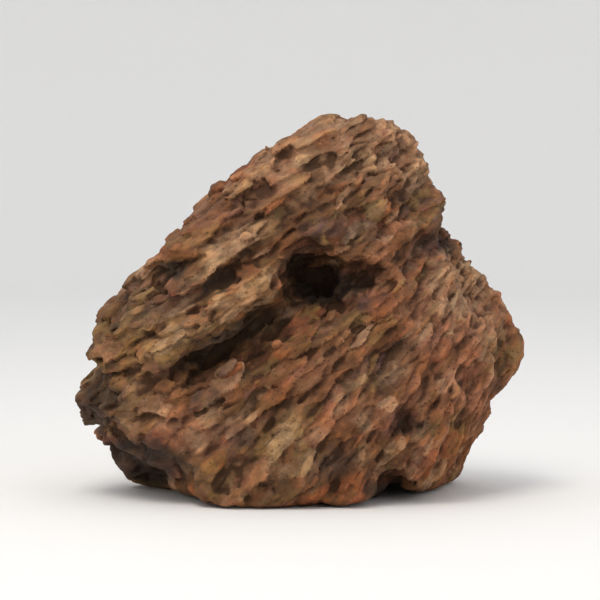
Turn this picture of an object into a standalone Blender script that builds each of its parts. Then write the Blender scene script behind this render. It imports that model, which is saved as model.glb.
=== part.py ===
"""Dragon stone for an aquarium: one loose piece of soft, clay-rich rock, weathered into stacked slabs.

The stone is seen from the front, along +Y, with +X to the right and +Z up. The origin is on the
surface that the stone rests on, under the middle of its outline. Sizes are in metres.
"""

import math
from random import Random

import bmesh
import bpy
import numpy as np
from mathutils import Vector, noise
from mathutils.bvhtree import BVHTree

MM = 0.001

# Outline of the stone at each height, in mm: 12 points (across, away) from the left round by the front.
BULK_RINGS_MM = (
    (1.0, ((-62, 2), (-46, -28), (-34, -50), (-6, -54), (24, -50), (44, -26),
           (61, 6), (60, 30), (37, 42), (6, 48), (-26, 42), (-57, 24))),
    (12.0, ((-78, 0), (-60, -29), (-40, -51), (-4, -57), (28, -54), (50, -30),
            (66, 4), (66, 33), (42, 47), (8, 54), (-30, 46), (-66, 24))),
    (28.0, ((-87, -4), (-73, -30), (-46, -50), (-4, -57), (34, -54), (58, -34),
            (72, 0), (70, 34), (46, 51), (8, 59), (-36, 49), (-71, 24))),
    (46.0, ((-88, -2), (-75, -30), (-46, -47), (-2, -54), (40, -52), (69, -34),
            (84, 0), (78, 32), (51, 50), (8, 60), (-40, 49), (-72, 23))),
    (64.0, ((-80, 0), (-69, -28), (-42, -46), (0, -46), (38, -47), (64, -30),
            (80, 2), (74, 30), (47, 45), (6, 56), (-40, 47), (-68, 23))),
    (82.0, ((-67, 2), (-58, -28), (-34, -44), (0, -42), (32, -39), (54, -24),
            (67, 4), (61, 26), (38, 38), (2, 49), (-36, 43), (-57, 24))),
    (100.0, ((-50, 4), (-43, -22), (-22, -37), (4, -37), (30, -31), (48, -16),
             (60, 6), (52, 23), (32, 32), (2, 41), (-26, 38), (-43, 22))),
    (118.0, ((-35, 6), (-29, -14), (-12, -27), (8, -27), (28, -22), (42, -10),
             (53, 8), (44, 21), (28, 27), (6, 33), (-16, 30), (-30, 19))),
    (133.0, ((-18, 6), (-15, -8), (-4, -18), (10, -19), (25, -15), (36, -6),
             (46, 8), (39, 19), (25, 24), (8, 25), (-8, 22), (-16, 15))),
    (142.0, ((-3, 6), (-1, -1), (5, -8), (13, -10), (23, -8), (31, -2),
             (39, 7), (33, 13), (23, 16), (12, 16), (4, 14), (-1, 11))),
)
# The underside is hollowed between the feet: how far its rings lie out from its middle, and their
# height in mm.
BULK_UNDERSIDE_MM = ((0.35, 6.0), (0.72, 5.0))
BULK_MIDDLE = Vector((10.0, 2.0, 0.0)) * MM
BULK_SIDES = 60
BULK_LAYERS = 40
BULK_COVER = 5.5 * MM
BULK_LUMP = 4.5 * MM
BULK_LUMP_SPACING = 36.0 * MM
BULK_LUMP_SHIFTS = ((9.3, 0.0, 0.0), (0.0, 17.1, 0.0), (0.0, 0.0, 31.7))
BULK_VOXEL = 2.5 * MM

# Hollows weathered into the front, where they are seen from the front, in mm: across and up,
# half length and half height, rise in degrees and depth.
SEEN_FROM = Vector((-52.0, -897.0, 118.5)) * MM
FRONT_HOLLOWS_MM = (
    {"name": "main hollow", "at": (13, 77), "half": (22, 11), "rise": 6, "deep": 24},
    {"name": "upper hollow", "at": (-1, 88), "half": (13, 8), "rise": 34, "deep": 15},
    {"name": "valley", "at": (-22, 58), "half": (34, 10), "rise": 27, "deep": 13},
    {"name": "valley mouth", "at": (-50, 45), "half": (16, 7), "rise": 25, "deep": 6},
    {"name": "upper right hollow", "at": (52, 96), "half": (13, 5), "rise": 0, "deep": 6},
    {"name": "lower left undercut", "at": (-75, 11), "half": (14, 15), "rise": 0, "deep": 17},
    {"name": "hollow under the left lobe", "at": (-57, 2), "half": (13, 7), "rise": 0, "deep": 11},
    {"name": "lower right notch", "at": (33, 0), "half": (9, 7), "rise": 20, "deep": 12},
)
HOLLOW_LIFT = 0.3
HOLLOW_DEEPER = 0.7
HOLLOW_ROUNDNESS = 0.6
HOLLOW_REACH_AROUND = 0.35
HOLLOW_FARTHEST_BACK = 10.0 * MM
# Outline that is seen from the front, in mm: across and up, from the left foot over the top.
OUTLINE_MM = (
    (-46, -9), (-50, 0), (-66, 0), (-74, 3), (-79, 9), (-83, 18), (-86, 26), (-87, 33), (-87, 42),
    (-85, 50), (-84, 58), (-80, 65), (-77, 73), (-70, 78), (-67, 86), (-58, 91), (-51, 99), (-45, 104),
    (-40, 111), (-35, 114), (-34, 121), (-28, 126), (-18, 131), (-9, 136), (0, 141), (3, 146),
    (12, 147), (15, 142), (22, 144), (38, 143), (44, 137), (47, 131), (49, 124), (53, 117), (56, 107),
    (59, 99), (63, 92), (66, 87), (71, 84), (66, 79), (73, 78), (78, 76), (80, 70), (84, 64), (86, 58),
    (87, 50), (85, 45), (80, 41), (76, 37), (74, 30), (70, 22), (67, 14), (67, 5), (50, -1), (36, -1),
    (26, -12), (-20, -12),
)
OUTLINE_SLACK = 0.2

# The grain rises to the right. It is steeper towards the lower right, so that the slabs fan out.
GRAIN_RISE_UPPER_LEFT = math.radians(31.0)
GRAIN_RISE_LOWER_RIGHT = math.radians(58.0)
GRAIN_RISE_SWAY = math.radians(7.0)
GRAIN_SWAY_SPACING = 38.0 * MM
GRAIN_DIP = math.radians(16.0)
GRAIN_TURN_TOWARDS = (0.6, -0.8)
GRAIN_TURN_MIDDLE_HEIGHT = 75.0 * MM
GRAIN_TURN_START = -14.0 * MM
GRAIN_TURN_LENGTH = 84.0 * MM

# Slabs in three sizes: how many points are tried, the room left between them along and across the
# bedding, and in mm the length, depth, thickness and how proud they stand.
SLAB_SIZES_MM = (
    {"tries": 900, "room": (0.7, 1.4),
     "length": (40.0, 66.0), "depth": (24.0, 34.0), "thick": (10.0, 15.0), "proud": (0.0, 5.5)},
    {"tries": 3200, "room": (0.85, 1.45),
     "length": (24.0, 42.0), "depth": (16.0, 24.0), "thick": (6.5, 9.0), "proud": (3.0, 8.0)},
    {"tries": 1600, "room": (1.1, 2.2),
     "length": (12.0, 20.0), "depth": (9.0, 13.0), "thick": (4.5, 6.5), "proud": (3.0, 7.5)},
)
SLAB_MOST_SUNK = 5.0 * MM
SLAB_MOST_PROUD = 8.5 * MM
SLAB_LOWEST_NORMAL = -0.75
SLAB_SQUARENESS = 5.5
SLAB_CHIPPING = 0.26
SLAB_TAPER = (0.05, 0.4)
SLAB_BEND = 0.3
SLAB_JITTER = math.radians(6.0)
SLAB_BALL_STEPS = 3
SLAB_CHIP_SPACING = 1.6
SLAB_CHIP_BIAS = 0.15
LEDGE_PULL_TO_GRAIN = 0.3

# Ledges seen from the front, in mm: across and up, length, thickness, rise in degrees and how proud.
FRONT_LEDGES_MM = (
    {"at": (-24, 98), "length": 32, "thick": 8, "rise": 22, "proud": 8.0},
    {"at": (-34, 89), "length": 26, "thick": 6, "rise": 25, "proud": 6.5},
    {"at": (-24, 77), "length": 36, "thick": 8, "rise": 33, "proud": 8.0},
    {"at": (-43, 63), "length": 44, "thick": 6, "rise": 32, "proud": 8.0},
    {"at": (-60, 70), "length": 30, "thick": 7, "rise": 33, "proud": 6.0},
    {"at": (-61, 84), "length": 24, "thick": 7, "rise": 38, "proud": 5.0},
    {"at": (-45, 98), "length": 24, "thick": 8, "rise": 40, "proud": 5.0},
    {"at": (-24, 107), "length": 30, "thick": 5.5, "rise": 30, "proud": 7.5},
    {"at": (-23, 119), "length": 28, "thick": 9, "rise": 28, "proud": 6.0},
    {"at": (-6, 123), "length": 26, "thick": 13, "rise": 50, "proud": 4.0},
    {"at": (11, 113), "length": 28, "thick": 6, "rise": 44, "proud": 5.0},
    {"at": (21, 127), "length": 24, "thick": 9, "rise": 22, "proud": 4.0},
    {"at": (40, 128), "length": 18, "thick": 9, "rise": -50, "proud": 3.0},
    {"at": (33, 114), "length": 22, "thick": 7, "rise": 62, "proud": 4.0},
    {"at": (47, 109), "length": 24, "thick": 8, "rise": 100, "proud": 4.0},
    {"at": (12, 93), "length": 36, "thick": 9, "rise": 4, "proud": 6.5},
    {"at": (33, 88), "length": 26, "thick": 8, "rise": 62, "proud": 4.0},
    {"at": (33, 70), "length": 30, "thick": 9, "rise": 75, "proud": 4.5},
    {"at": (52, 76), "length": 26, "thick": 11, "rise": 66, "proud": 3.5},
    {"at": (39, 61), "length": 18, "thick": 6, "rise": 45, "proud": 4.5},
    {"at": (35, 46), "length": 24, "thick": 12, "rise": 28, "proud": 4.5},
    {"at": (4, 57), "length": 30, "thick": 8, "rise": 32, "proud": 4.5},
    {"at": (-18, 44), "length": 34, "thick": 8, "rise": 33, "proud": 4.5},
    {"at": (15, 36), "length": 20, "thick": 8, "rise": 48, "proud": 4.5},
    {"at": (26, 27), "length": 22, "thick": 7, "rise": 52, "proud": 4.5},
    {"at": (-8, 21), "length": 32, "thick": 6, "rise": 59, "proud": 6.0},
    {"at": (-2, 9), "length": 24, "thick": 5, "rise": 30, "proud": 5.0},
    {"at": (-40, 23), "length": 30, "thick": 6, "rise": 56, "proud": 5.5},
    {"at": (-67, 40), "length": 28, "thick": 7, "rise": 62, "proud": 5.0},
    {"at": (-52, 31), "length": 16, "thick": 8, "rise": 30, "proud": 4.5},
    {"at": (-58, 17), "length": 18, "thick": 11, "rise": 70, "proud": 5.0},
    {"at": (52, 17), "length": 26, "thick": 12, "rise": 36, "proud": 4.0},
    {"at": (66, 52), "length": 30, "thick": 12, "rise": 72, "proud": 3.5},
)
LEDGE_DEPTH_PER_THICKNESS = 1.5
LEDGE_DEPTH_BESIDES = 8.0 * MM

# Lumps and feet set by hand, in mm: middle, length, depth and thickness, and rise in degrees.
PLACED_LUMPS_MM = (
    {"name": "peak knob", "middle": (8, 2, 142), "size": (11, 12, 11), "rise": 10},
    {"name": "second peak", "middle": (24, 4, 138), "size": (21, 18, 11), "rise": 4},
    {"name": "right shoulder", "middle": (36, 6, 135), "size": (20, 20, 13), "rise": -12},
    {"name": "right bulge", "middle": (74, 2, 53), "size": (26, 34, 20), "rise": 66},
    {"name": "right spur", "middle": (65, 4, 83), "size": (11, 9, 5), "rise": 24},
    {"name": "right lobe", "middle": (71, 4, 71), "size": (19, 22, 13), "rise": 10},
    {"name": "front foot", "middle": (-16, -46, 4), "size": (48, 20, 10), "rise": 8},
    {"name": "small front foot", "middle": (19, -48, 3), "size": (17, 14, 12), "rise": 40},
    {"name": "right foot", "middle": (54, 22, 5), "size": (24, 28, 14), "rise": 10},
    {"name": "middle foot", "middle": (-4, -8, 5), "size": (36, 16, 13), "rise": 7},
    {"name": "other middle foot", "middle": (14, 8, 5), "size": (22, 30, 12), "rise": -8},
    {"name": "back foot", "middle": (-4, 36, 4), "size": (44, 20, 13), "rise": -8},
    {"name": "left foot", "middle": (-34, -12, 4), "size": (22, 36, 12), "rise": 14},
    {"name": "far left foot", "middle": (-57, 14, 5), "size": (26, 28, 13), "rise": 10},
)

# Pits and grooves seen from the front, in mm: across and up, half length and half height, rise in
# degrees, depth.
FRONT_PITS_MM = (
    {"at": (-50, 67), "half": (15, 2.6), "rise": 32, "deep": 6},
    {"at": (-30, 93.5), "half": (11, 2.4), "rise": 22, "deep": 5},
    {"at": (-26, 102.5), "half": (13, 2.4), "rise": 27, "deep": 6},
    {"at": (-22, 112), "half": (13, 2.6), "rise": 27, "deep": 6},
    {"at": (-5, 109), "half": (9, 2.6), "rise": 42, "deep": 5},
    {"at": (-66, 77), "half": (9, 2.6), "rise": 34, "deep": 5},
    {"at": (-50, 85), "half": (7, 4), "rise": 30, "deep": 8},
    {"at": (-33, 80), "half": (12, 3.5), "rise": 28, "deep": 8},
    {"at": (-14, 92), "half": (9, 3), "rise": 32, "deep": 5},
    {"at": (-17, 104), "half": (7, 2.5), "rise": 42, "deep": 5},
    {"at": (-75, 47), "half": (6, 3), "rise": 10, "deep": 5},
    {"at": (-76, 36), "half": (6, 4), "rise": 40, "deep": 6},
    {"at": (-62, 57), "half": (6, 3), "rise": 20, "deep": 5},
    {"at": (-58, 27), "half": (7, 3), "rise": 20, "deep": 5},
    {"at": (-35, 48), "half": (12, 3), "rise": 25, "deep": 6},
    {"at": (-14, 47), "half": (9, 2.5), "rise": 33, "deep": 5},
    {"at": (21, 103), "half": (9, 3), "rise": 8, "deep": 5},
    {"at": (24, 115), "half": (6, 3), "rise": 40, "deep": 4},
    {"at": (30, 132), "half": (5, 3), "rise": 20, "deep": 5},
    {"at": (-31, 117), "half": (5, 4), "rise": 60, "deep": 5},
    {"at": (33, 55), "half": (7, 2.5), "rise": 45, "deep": 6},
    {"at": (41, 26), "half": (7, 4), "rise": 20, "deep": 6},
    {"at": (27, 19), "half": (7, 3), "rise": 50, "deep": 5},
    {"at": (10, 14), "half": (8, 3.5), "rise": 45, "deep": 6},
    {"at": (44, 55), "half": (7, 3), "rise": 80, "deep": 4},
    {"at": (55, 46), "half": (6, 4), "rise": 60, "deep": 4},
    {"at": (-24, 30), "half": (9, 3), "rise": 50, "deep": 4},
)
# Pits strewn over the whole stone: how many, half length, half width and depth, in mm.
STREWN_PITS_MM = {"count": 150, "half_length": (4.0, 9.0), "half_width": (2.2, 4.0), "deep": (2.5, 6.0)}
PIT_ROUNDNESS = 0.6
PIT_REACH_AROUND = 0.3

VOXEL = 1.6 * MM
CUTTER_SIDE = 0.4
FACES_WANTED = 9400
SEED = 16


def grain_rise(point):
    """How steeply the grain rises to the right at a point, in radians."""
    height = point[2] - GRAIN_TURN_MIDDLE_HEIGHT
    along = GRAIN_TURN_TOWARDS[0] * point[0] + GRAIN_TURN_TOWARDS[1] * height
    turn = min(max((along - GRAIN_TURN_START) / GRAIN_TURN_LENGTH, 0.0), 1.0)
    turn = turn * turn * (3.0 - 2.0 * turn)
    sway = noise.noise(Vector(point) / GRAIN_SWAY_SPACING) * GRAIN_RISE_SWAY
    return GRAIN_RISE_UPPER_LEFT + turn * (GRAIN_RISE_LOWER_RIGHT - GRAIN_RISE_UPPER_LEFT) + sway


def bedding_up(rise, dip):
    """The direction square to the slabs, for a rise to the right and a dip towards the front."""
    along = Vector((math.cos(rise), 0.0, math.sin(rise)))
    away = Vector((0.0, math.cos(dip), math.sin(dip)))
    return along.cross(away).normalized()


def slab_axes(rise, dip, normal):
    """A slab's own axes as rows: along its ledge, into the stone, and across the bedding."""
    up = bedding_up(rise, dip)
    ledge = up.cross(normal)
    grain = Vector((math.cos(rise), 0.0, math.sin(rise)))
    flatness = 1.0 - ledge.length
    ledge = ledge * math.copysign(1.0, ledge.dot(grain)) + grain * (LEDGE_PULL_TO_GRAIN * flatness)
    ledge = (ledge - up * ledge.dot(up)).normalized()
    return np.array((ledge, up.cross(ledge), up))


def ring_point(ring, turn):
    """A point on a closed, smooth outline, for a turn from 0 to 1."""
    count = len(ring)
    place = turn * count
    i = int(place) % count
    part = place - int(place)
    before, start, end, after = (np.array(ring[(i + k) % count], float) for k in (-1, 0, 1, 2))
    square = 2.0 * before - 5.0 * start + 4.0 * end - after
    cube = 3.0 * start - before - 3.0 * end + after
    return start + 0.5 * part * (end - before + part * (square + part * cube))


def bulk_lump(spot):
    """How far the lumps of the bulk move a spot."""
    place = spot / BULK_LUMP_SPACING
    return Vector([noise.noise(place + Vector(shift)) for shift in BULK_LUMP_SHIFTS]) * BULK_LUMP


def bulk_object():
    """The stone without its slabs: rings of its outline, one above another, closed at both ends."""
    mesh = bmesh.new()
    heights = np.array([ring[0] for ring in BULK_RINGS_MM])
    rings = []
    for reach, height in BULK_UNDERSIDE_MM:
        ring = []
        for step in range(BULK_SIDES):
            spot = Vector((*ring_point(BULK_RINGS_MM[0][1], step / BULK_SIDES), height)) * MM
            spot.xy = BULK_MIDDLE.xy + (spot.xy - BULK_MIDDLE.xy) * reach
            ring.append(mesh.verts.new(spot))
        rings.append(ring)
    for height in np.linspace(heights[0], heights[-1], BULK_LAYERS):
        upper = min(max(int(np.searchsorted(heights, height)), 1), len(heights) - 1)
        part = (height - heights[upper - 1]) / (heights[upper] - heights[upper - 1])
        ring = []
        for step in range(BULK_SIDES):
            turn = step / BULK_SIDES
            low = ring_point(BULK_RINGS_MM[upper - 1][1], turn)
            high = ring_point(BULK_RINGS_MM[upper][1], turn)
            spot = Vector((*(low + (high - low) * part), height)) * MM
            inward = Vector((BULK_MIDDLE.x - spot.x, BULK_MIDDLE.y - spot.y, 0.0)).normalized()
            ring.append(mesh.verts.new(spot + inward * BULK_COVER + bulk_lump(spot)))
        rings.append(ring)
    for lower, upper in zip(rings, rings[1:]):
        for i in range(BULK_SIDES):
            j = (i + 1) % BULK_SIDES
            mesh.faces.new((lower[i], lower[j], upper[j], upper[i]))
    mesh.faces.new(rings[0][::-1])
    mesh.faces.new(rings[-1])
    bmesh.ops.triangulate(mesh, faces=mesh.faces)
    bmesh.ops.recalc_face_normals(mesh, faces=mesh.faces)
    data = bpy.data.meshes.new("dragon_stone")
    mesh.to_mesh(data)
    mesh.free()
    stone = bpy.data.objects.new("dragon_stone", data)
    bpy.context.scene.collection.objects.link(stone)
    return stone


def fused(stone, voxel):
    """Fuses what overlaps into one skin, whose points and faces always come in the same order."""
    remesh = stone.modifiers.new("fuse", "REMESH")
    remesh.mode = "VOXEL"
    remesh.voxel_size = voxel
    apply_modifiers(stone)
    points, _ = mesh_arrays(stone.data)
    order = np.lexsort(points.T)
    place = np.empty(len(points), int)
    place[order] = np.arange(len(points))
    faces = np.array([face.vertices for face in stone.data.polygons])
    faces = place[faces]
    first = faces.argmin(axis=1)
    turned = (np.arange(faces.shape[1]) + first[:, None]) % faces.shape[1]
    faces = np.take_along_axis(faces, turned, axis=1)
    faces = faces[np.lexsort(faces.T)]
    mesh = bpy.data.meshes.new("dragon_stone")
    mesh.from_pydata(points[order].tolist(), [], faces.tolist())
    stone.data = mesh


def mesh_arrays(mesh):
    """The mesh's points and normals, as arrays."""
    points = np.empty(len(mesh.vertices) * 3)
    normals = np.empty(len(mesh.vertices) * 3)
    mesh.vertices.foreach_get("co", points)
    mesh.vertices.foreach_get("normal", normals)
    return points.reshape(-1, 3), normals.reshape(-1, 3)


def set_points(mesh, points):
    """Moves the mesh's points to new places."""
    mesh.vertices.foreach_set("co", points.reshape(-1))
    mesh.update()


def search_tree(mesh):
    """A search tree over the mesh's faces."""
    points = [vert.co for vert in mesh.vertices]
    return BVHTree.FromPolygons(points, [tuple(face.vertices) for face in mesh.polygons])


def seen_spot(tree, at):
    """Where the sight line through a place on the middle plane meets the front, or passes by it."""
    target = Vector((at[0] * MM, 0.0, at[1] * MM))
    spot, _, _, _ = tree.ray_cast(SEEN_FROM, (target - SEEN_FROM).normalized())
    return spot or tree.find_nearest(target)[0]


def hollow_depths(points, normals):
    """How deep the hollows in the front are at each point."""
    sight = points - np.array(SEEN_FROM)
    seen = np.array(SEEN_FROM) + sight * (-SEEN_FROM.y / sight[:, 1])[:, None]
    facing = np.clip(HOLLOW_REACH_AROUND - normals[:, 1], 0.0, 1.0)
    facing[points[:, 1] > HOLLOW_FARTHEST_BACK] = 0.0
    depths = np.zeros(len(points))
    for hollow in FRONT_HOLLOWS_MM:
        rise = math.radians(hollow["rise"])
        across, up = seen[:, 0] - hollow["at"][0] * MM, seen[:, 2] - hollow["at"][1] * MM
        along = (across * math.cos(rise) + up * math.sin(rise)) / (hollow["half"][0] * MM)
        over = (up * math.cos(rise) - across * math.sin(rise)) / (hollow["half"][1] * MM)
        inside = np.clip(1.0 - along ** 2 - over ** 2, 0.0, 1.0) ** HOLLOW_ROUNDNESS * facing
        depths += inside * hollow["deep"] * MM
    return depths


def press_hollows(stone, share):
    """Pushes the front in where the rock has weathered away, and a little up, under what overhangs."""
    points, normals = mesh_arrays(stone.data)
    depths = hollow_depths(points, normals) * share
    points[:, 1] += depths
    points[:, 2] += depths * HOLLOW_LIFT
    set_points(stone.data, points)


def trim_proud(stone, tree):
    """Draws back what stands out too far from the bulk."""
    points, _ = mesh_arrays(stone.data)
    for i, point in enumerate(points):
        spot, normal, _, apart = tree.find_nearest(Vector(point))
        away = Vector(point) - spot
        if apart > SLAB_MOST_PROUD and away.dot(normal) > 0.0:
            reach = SLAB_MOST_PROUD + (apart - SLAB_MOST_PROUD) * OUTLINE_SLACK
            points[i] = spot + away * (reach / apart)
    set_points(stone.data, points)


def trim_outline(stone):
    """Moves what sticks out of the outline seen from the front back to it, leaving it a little slack."""
    points, _ = mesh_arrays(stone.data)
    eye = np.array(SEEN_FROM)
    sight = points - eye
    scale = -eye[1] / sight[:, 1]
    seen = (eye + sight * scale[:, None])[:, (0, 2)]
    starts = np.array(OUTLINE_MM, float) * MM
    ends = np.roll(starts, -1, axis=0)
    nearest = np.zeros_like(seen)
    closest = np.full(len(seen), np.inf)
    inside = np.zeros(len(seen), bool)
    for start, end in zip(starts, ends):
        side = end - start
        part = np.clip((seen - start) @ side / (side @ side), 0.0, 1.0)
        spot = start + part[:, None] * side
        apart = np.linalg.norm(seen - spot, axis=1)
        nearest[apart < closest] = spot[apart < closest]
        closest = np.minimum(closest, apart)
        if start[1] != end[1]:
            between = (seen[:, 1] < start[1]) != (seen[:, 1] < end[1])
            crossing = start[0] + (seen[:, 1] - start[1]) / side[1] * side[0]
            inside ^= between & (seen[:, 0] < crossing)
    move = (nearest - seen) * (1.0 - OUTLINE_SLACK)
    move[inside] = 0.0
    points[:, (0, 2)] += move / scale[:, None]
    set_points(stone.data, points)


def surface_spots(mesh, tries, rng):
    """Points spread evenly over a mesh's area, each with its face's normal."""
    areas = np.cumsum([face.area for face in mesh.polygons])
    spots = []
    for _ in range(tries):
        face = mesh.polygons[min(int(np.searchsorted(areas, rng.random() * areas[-1])), len(areas) - 1)]
        a, b = rng.random(), rng.random()
        if a + b > 1.0:
            a, b = 1.0 - a, 1.0 - b
        first, second, third = (mesh.vertices[i].co for i in face.vertices[:3])
        spots.append((first + (second - first) * a + (third - first) * b, face.normal.copy()))
    return spots


def ball_mesh():
    """The points and faces of a ball, which every slab starts from."""
    mesh = bmesh.new()
    bmesh.ops.create_icosphere(mesh, subdivisions=SLAB_BALL_STEPS, radius=1.0)
    points = np.array([vert.co for vert in mesh.verts])
    faces = np.array([[vert.index for vert in face.verts] for face in mesh.faces])
    mesh.free()
    return points, faces


def slab_points(ball, size, axes, middle, rng):
    """One slab: blunt, thinner towards one end, slightly bent, with broken edges."""
    reach = (np.abs(ball) ** SLAB_SQUARENESS).sum(axis=1) ** (-1.0 / SLAB_SQUARENESS)
    points = ball * reach[:, None]
    place = Vector((rng.uniform(-50, 50), rng.uniform(-50, 50), rng.uniform(-50, 50)))
    chipping = np.array([noise.noise(Vector(point) * SLAB_CHIP_SPACING + place) for point in points])
    points = points * (1.0 + SLAB_CHIPPING * (chipping - SLAB_CHIP_BIAS))[:, None]
    taper = 1.0 - rng.uniform(*SLAB_TAPER) * (0.5 + 0.5 * points[:, 0] * rng.choice((-1.0, 1.0)))
    points[:, 1:] *= taper[:, None]
    points[:, 2] += rng.uniform(-SLAB_BEND, SLAB_BEND) * points[:, 0] ** 2
    return (points * (np.array(size) / 2.0)) @ axes + np.array(middle)


def far_enough(spot, axes, size, kept, spacing):
    """Whether a slab here leaves the others of its size room, along the ledge and across the bedding."""
    for other, other_size in kept:
        apart = axes @ (np.array(spot) - other)
        room = (np.array(size) + other_size) / 2.0
        along = apart[0] / (room[0] * spacing[0])
        across = apart[2] / (room[2] * spacing[1])
        inward = apart[1] / room[1]
        if along * along + across * across + inward * inward < 1.0:
            return False
    return True


def grown_slabs(mesh, ball, rng):
    """Slabs over the whole surface, the long ones first, each standing a little proud."""
    slabs = []
    for kind in SLAB_SIZES_MM:
        kept = []
        for spot, normal in surface_spots(mesh, kind["tries"], rng):
            size = [rng.uniform(*kind[side]) * MM for side in ("length", "depth", "thick")]
            rise = grain_rise(spot) + rng.gauss(0.0, SLAB_JITTER)
            axes = slab_axes(rise, GRAIN_DIP + rng.gauss(0.0, SLAB_JITTER), normal)
            if normal.z < SLAB_LOWEST_NORMAL or not far_enough(spot, axes, size, kept, kind["room"]):
                continue
            if hollow_depths(np.array([spot]), np.array([normal]))[0] > SLAB_MOST_SUNK:
                continue
            kept.append((np.array(spot), np.array(size)))
            reach = float((np.abs(axes @ np.array(normal)) * np.array(size) / 2.0).max())
            proud = rng.uniform(*kind["proud"]) * MM
            slabs.append(slab_points(ball, size, axes, spot + normal * (proud - reach), rng))
    return slabs


def front_ledges(tree, ball, rng):
    """The ledges that show on the front, each one slab."""
    slabs = []
    for ledge in FRONT_LEDGES_MM:
        spot = seen_spot(tree, ledge["at"])
        thick = ledge["thick"] * MM
        size = (ledge["length"] * MM, LEDGE_DEPTH_PER_THICKNESS * thick + LEDGE_DEPTH_BESIDES, thick)
        axes = slab_axes(math.radians(ledge["rise"]), GRAIN_DIP, Vector((0.0, -1.0, 0.0)))
        reach = size[1] / 2.0
        away = Vector((0.0, 1.0, 0.0))
        slabs.append(slab_points(ball, size, axes, spot + away * (reach - ledge["proud"] * MM), rng))
    return slabs


def placed_lumps(ball, rng):
    """The lumps and feet that were set by hand."""
    slabs = []
    for lump in PLACED_LUMPS_MM:
        axes = slab_axes(math.radians(lump["rise"]), 0.0, Vector((0.0, -1.0, 0.0)))
        size = [side * MM for side in lump["size"]]
        slabs.append(slab_points(ball, size, axes, Vector(lump["middle"]) * MM, rng))
    return slabs


def add_slabs(stone, slabs, ball_faces):
    """Puts the slabs into the stone's mesh, still overlapping it and each other."""
    mesh = stone.data
    bulk = [list(face.vertices) for face in mesh.polygons]
    points = [mesh_arrays(mesh)[0]]
    count = len(points[0])
    faces = []
    for slab in slabs:
        points.append(slab)
        faces += (ball_faces + count).tolist()
        count += len(slab)
    joined = bpy.data.meshes.new("dragon_stone")
    joined.from_pydata(np.concatenate(points).tolist(), [], bulk + faces)
    stone.data = joined


def press_pits(stone, rng):
    """Pushes in the small pits: those seen on the front, then those strewn over the whole stone."""
    points, normals = mesh_arrays(stone.data)
    tree = search_tree(stone.data)
    front = Vector((0.0, -1.0, 0.0))
    pits = []
    for pit in FRONT_PITS_MM:
        spot = seen_spot(tree, pit["at"])
        pits.append((spot, front, math.radians(pit["rise"]), *pit["half"], pit["deep"]))
    for spot, normal in surface_spots(stone.data, STREWN_PITS_MM["count"], rng):
        half = rng.uniform(*STREWN_PITS_MM["half_length"]), rng.uniform(*STREWN_PITS_MM["half_width"])
        pits.append((spot, normal, grain_rise(spot), *half, rng.uniform(*STREWN_PITS_MM["deep"])))
    pushes = np.zeros(len(points))
    directions = np.zeros_like(points)
    for spot, normal, rise, half_length, half_width, deep in pits:
        axes = slab_axes(rise, GRAIN_DIP, normal)
        reach = np.array((half_length, half_length, half_width)) * MM
        apart = (points - np.array(spot)) @ axes.T / reach
        inside = np.clip(1.0 - (apart ** 2).sum(axis=1), 0.0, 1.0) ** PIT_ROUNDNESS
        inside *= np.clip(normals @ np.array(normal) + PIT_REACH_AROUND, 0.0, 1.0)
        deeper = inside * deep * MM > pushes
        pushes[deeper] = inside[deeper] * deep * MM
        directions[deeper] = -np.array(normal)
    set_points(stone.data, points + directions * pushes[:, None])


def largest_body(stone):
    """Drops any crumb that is not joined to the stone."""
    mesh = bmesh.new()
    mesh.from_mesh(stone.data)
    mesh.verts.ensure_lookup_table()
    seen = set()
    bodies = []
    for start in mesh.verts:
        if start.index in seen:
            continue
        body, front = [], [start]
        seen.add(start.index)
        while front:
            vert = front.pop()
            body.append(vert)
            for edge in vert.link_edges:
                other = edge.other_vert(vert)
                if other.index not in seen:
                    seen.add(other.index)
                    front.append(other)
        bodies.append(body)
    bodies.sort(key=len)
    crumbs = [vert for body in bodies[:-1] for vert in body]
    bmesh.ops.delete(mesh, geom=crumbs, context="VERTS")
    mesh.to_mesh(stone.data)
    mesh.free()


def floor_cutter():
    """A block whose top is the surface that the stone rests on."""
    mesh = bmesh.new()
    bmesh.ops.create_cube(mesh, size=CUTTER_SIDE)
    bmesh.ops.translate(mesh, verts=mesh.verts, vec=(0.0, 0.0, -CUTTER_SIDE / 2.0))
    data = bpy.data.meshes.new("floor_cutter")
    mesh.to_mesh(data)
    mesh.free()
    cutter = bpy.data.objects.new("floor_cutter", data)
    bpy.context.scene.collection.objects.link(cutter)
    cutter.hide_render = True
    cutter.display_type = "WIRE"
    return cutter


def apply_modifiers(stone):
    """Makes what the modifiers give the object's own mesh."""
    evaluated = stone.evaluated_get(bpy.context.evaluated_depsgraph_get())
    mesh = bpy.data.meshes.new_from_object(evaluated)
    stone.modifiers.clear()
    stone.data = mesh


def finish_shape(stone):
    """Thins the mesh out to broad facets, cuts the feet flat and brings the outline over the origin."""
    triangles = sum(len(face.vertices) - 2 for face in stone.data.polygons)
    thin = stone.modifiers.new("thin out", "DECIMATE")
    thin.ratio = FACES_WANTED / triangles
    thin.use_collapse_triangulate = True
    cut = stone.modifiers.new("flat feet", "BOOLEAN")
    cut.operation = "DIFFERENCE"
    cut.solver = "EXACT"
    cutter = floor_cutter()
    cut.object = cutter
    apply_modifiers(stone)
    bpy.data.objects.remove(cutter)
    points, _ = mesh_arrays(stone.data)
    middle = (points.min(axis=0) + points.max(axis=0)) / 2.0
    middle[2] = points[:, 2].min()
    print("moved by", (-middle / MM).round(3), "mm to", (np.ptp(points, axis=0) / MM).round(2), "mm")
    set_points(stone.data, points - middle)


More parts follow.
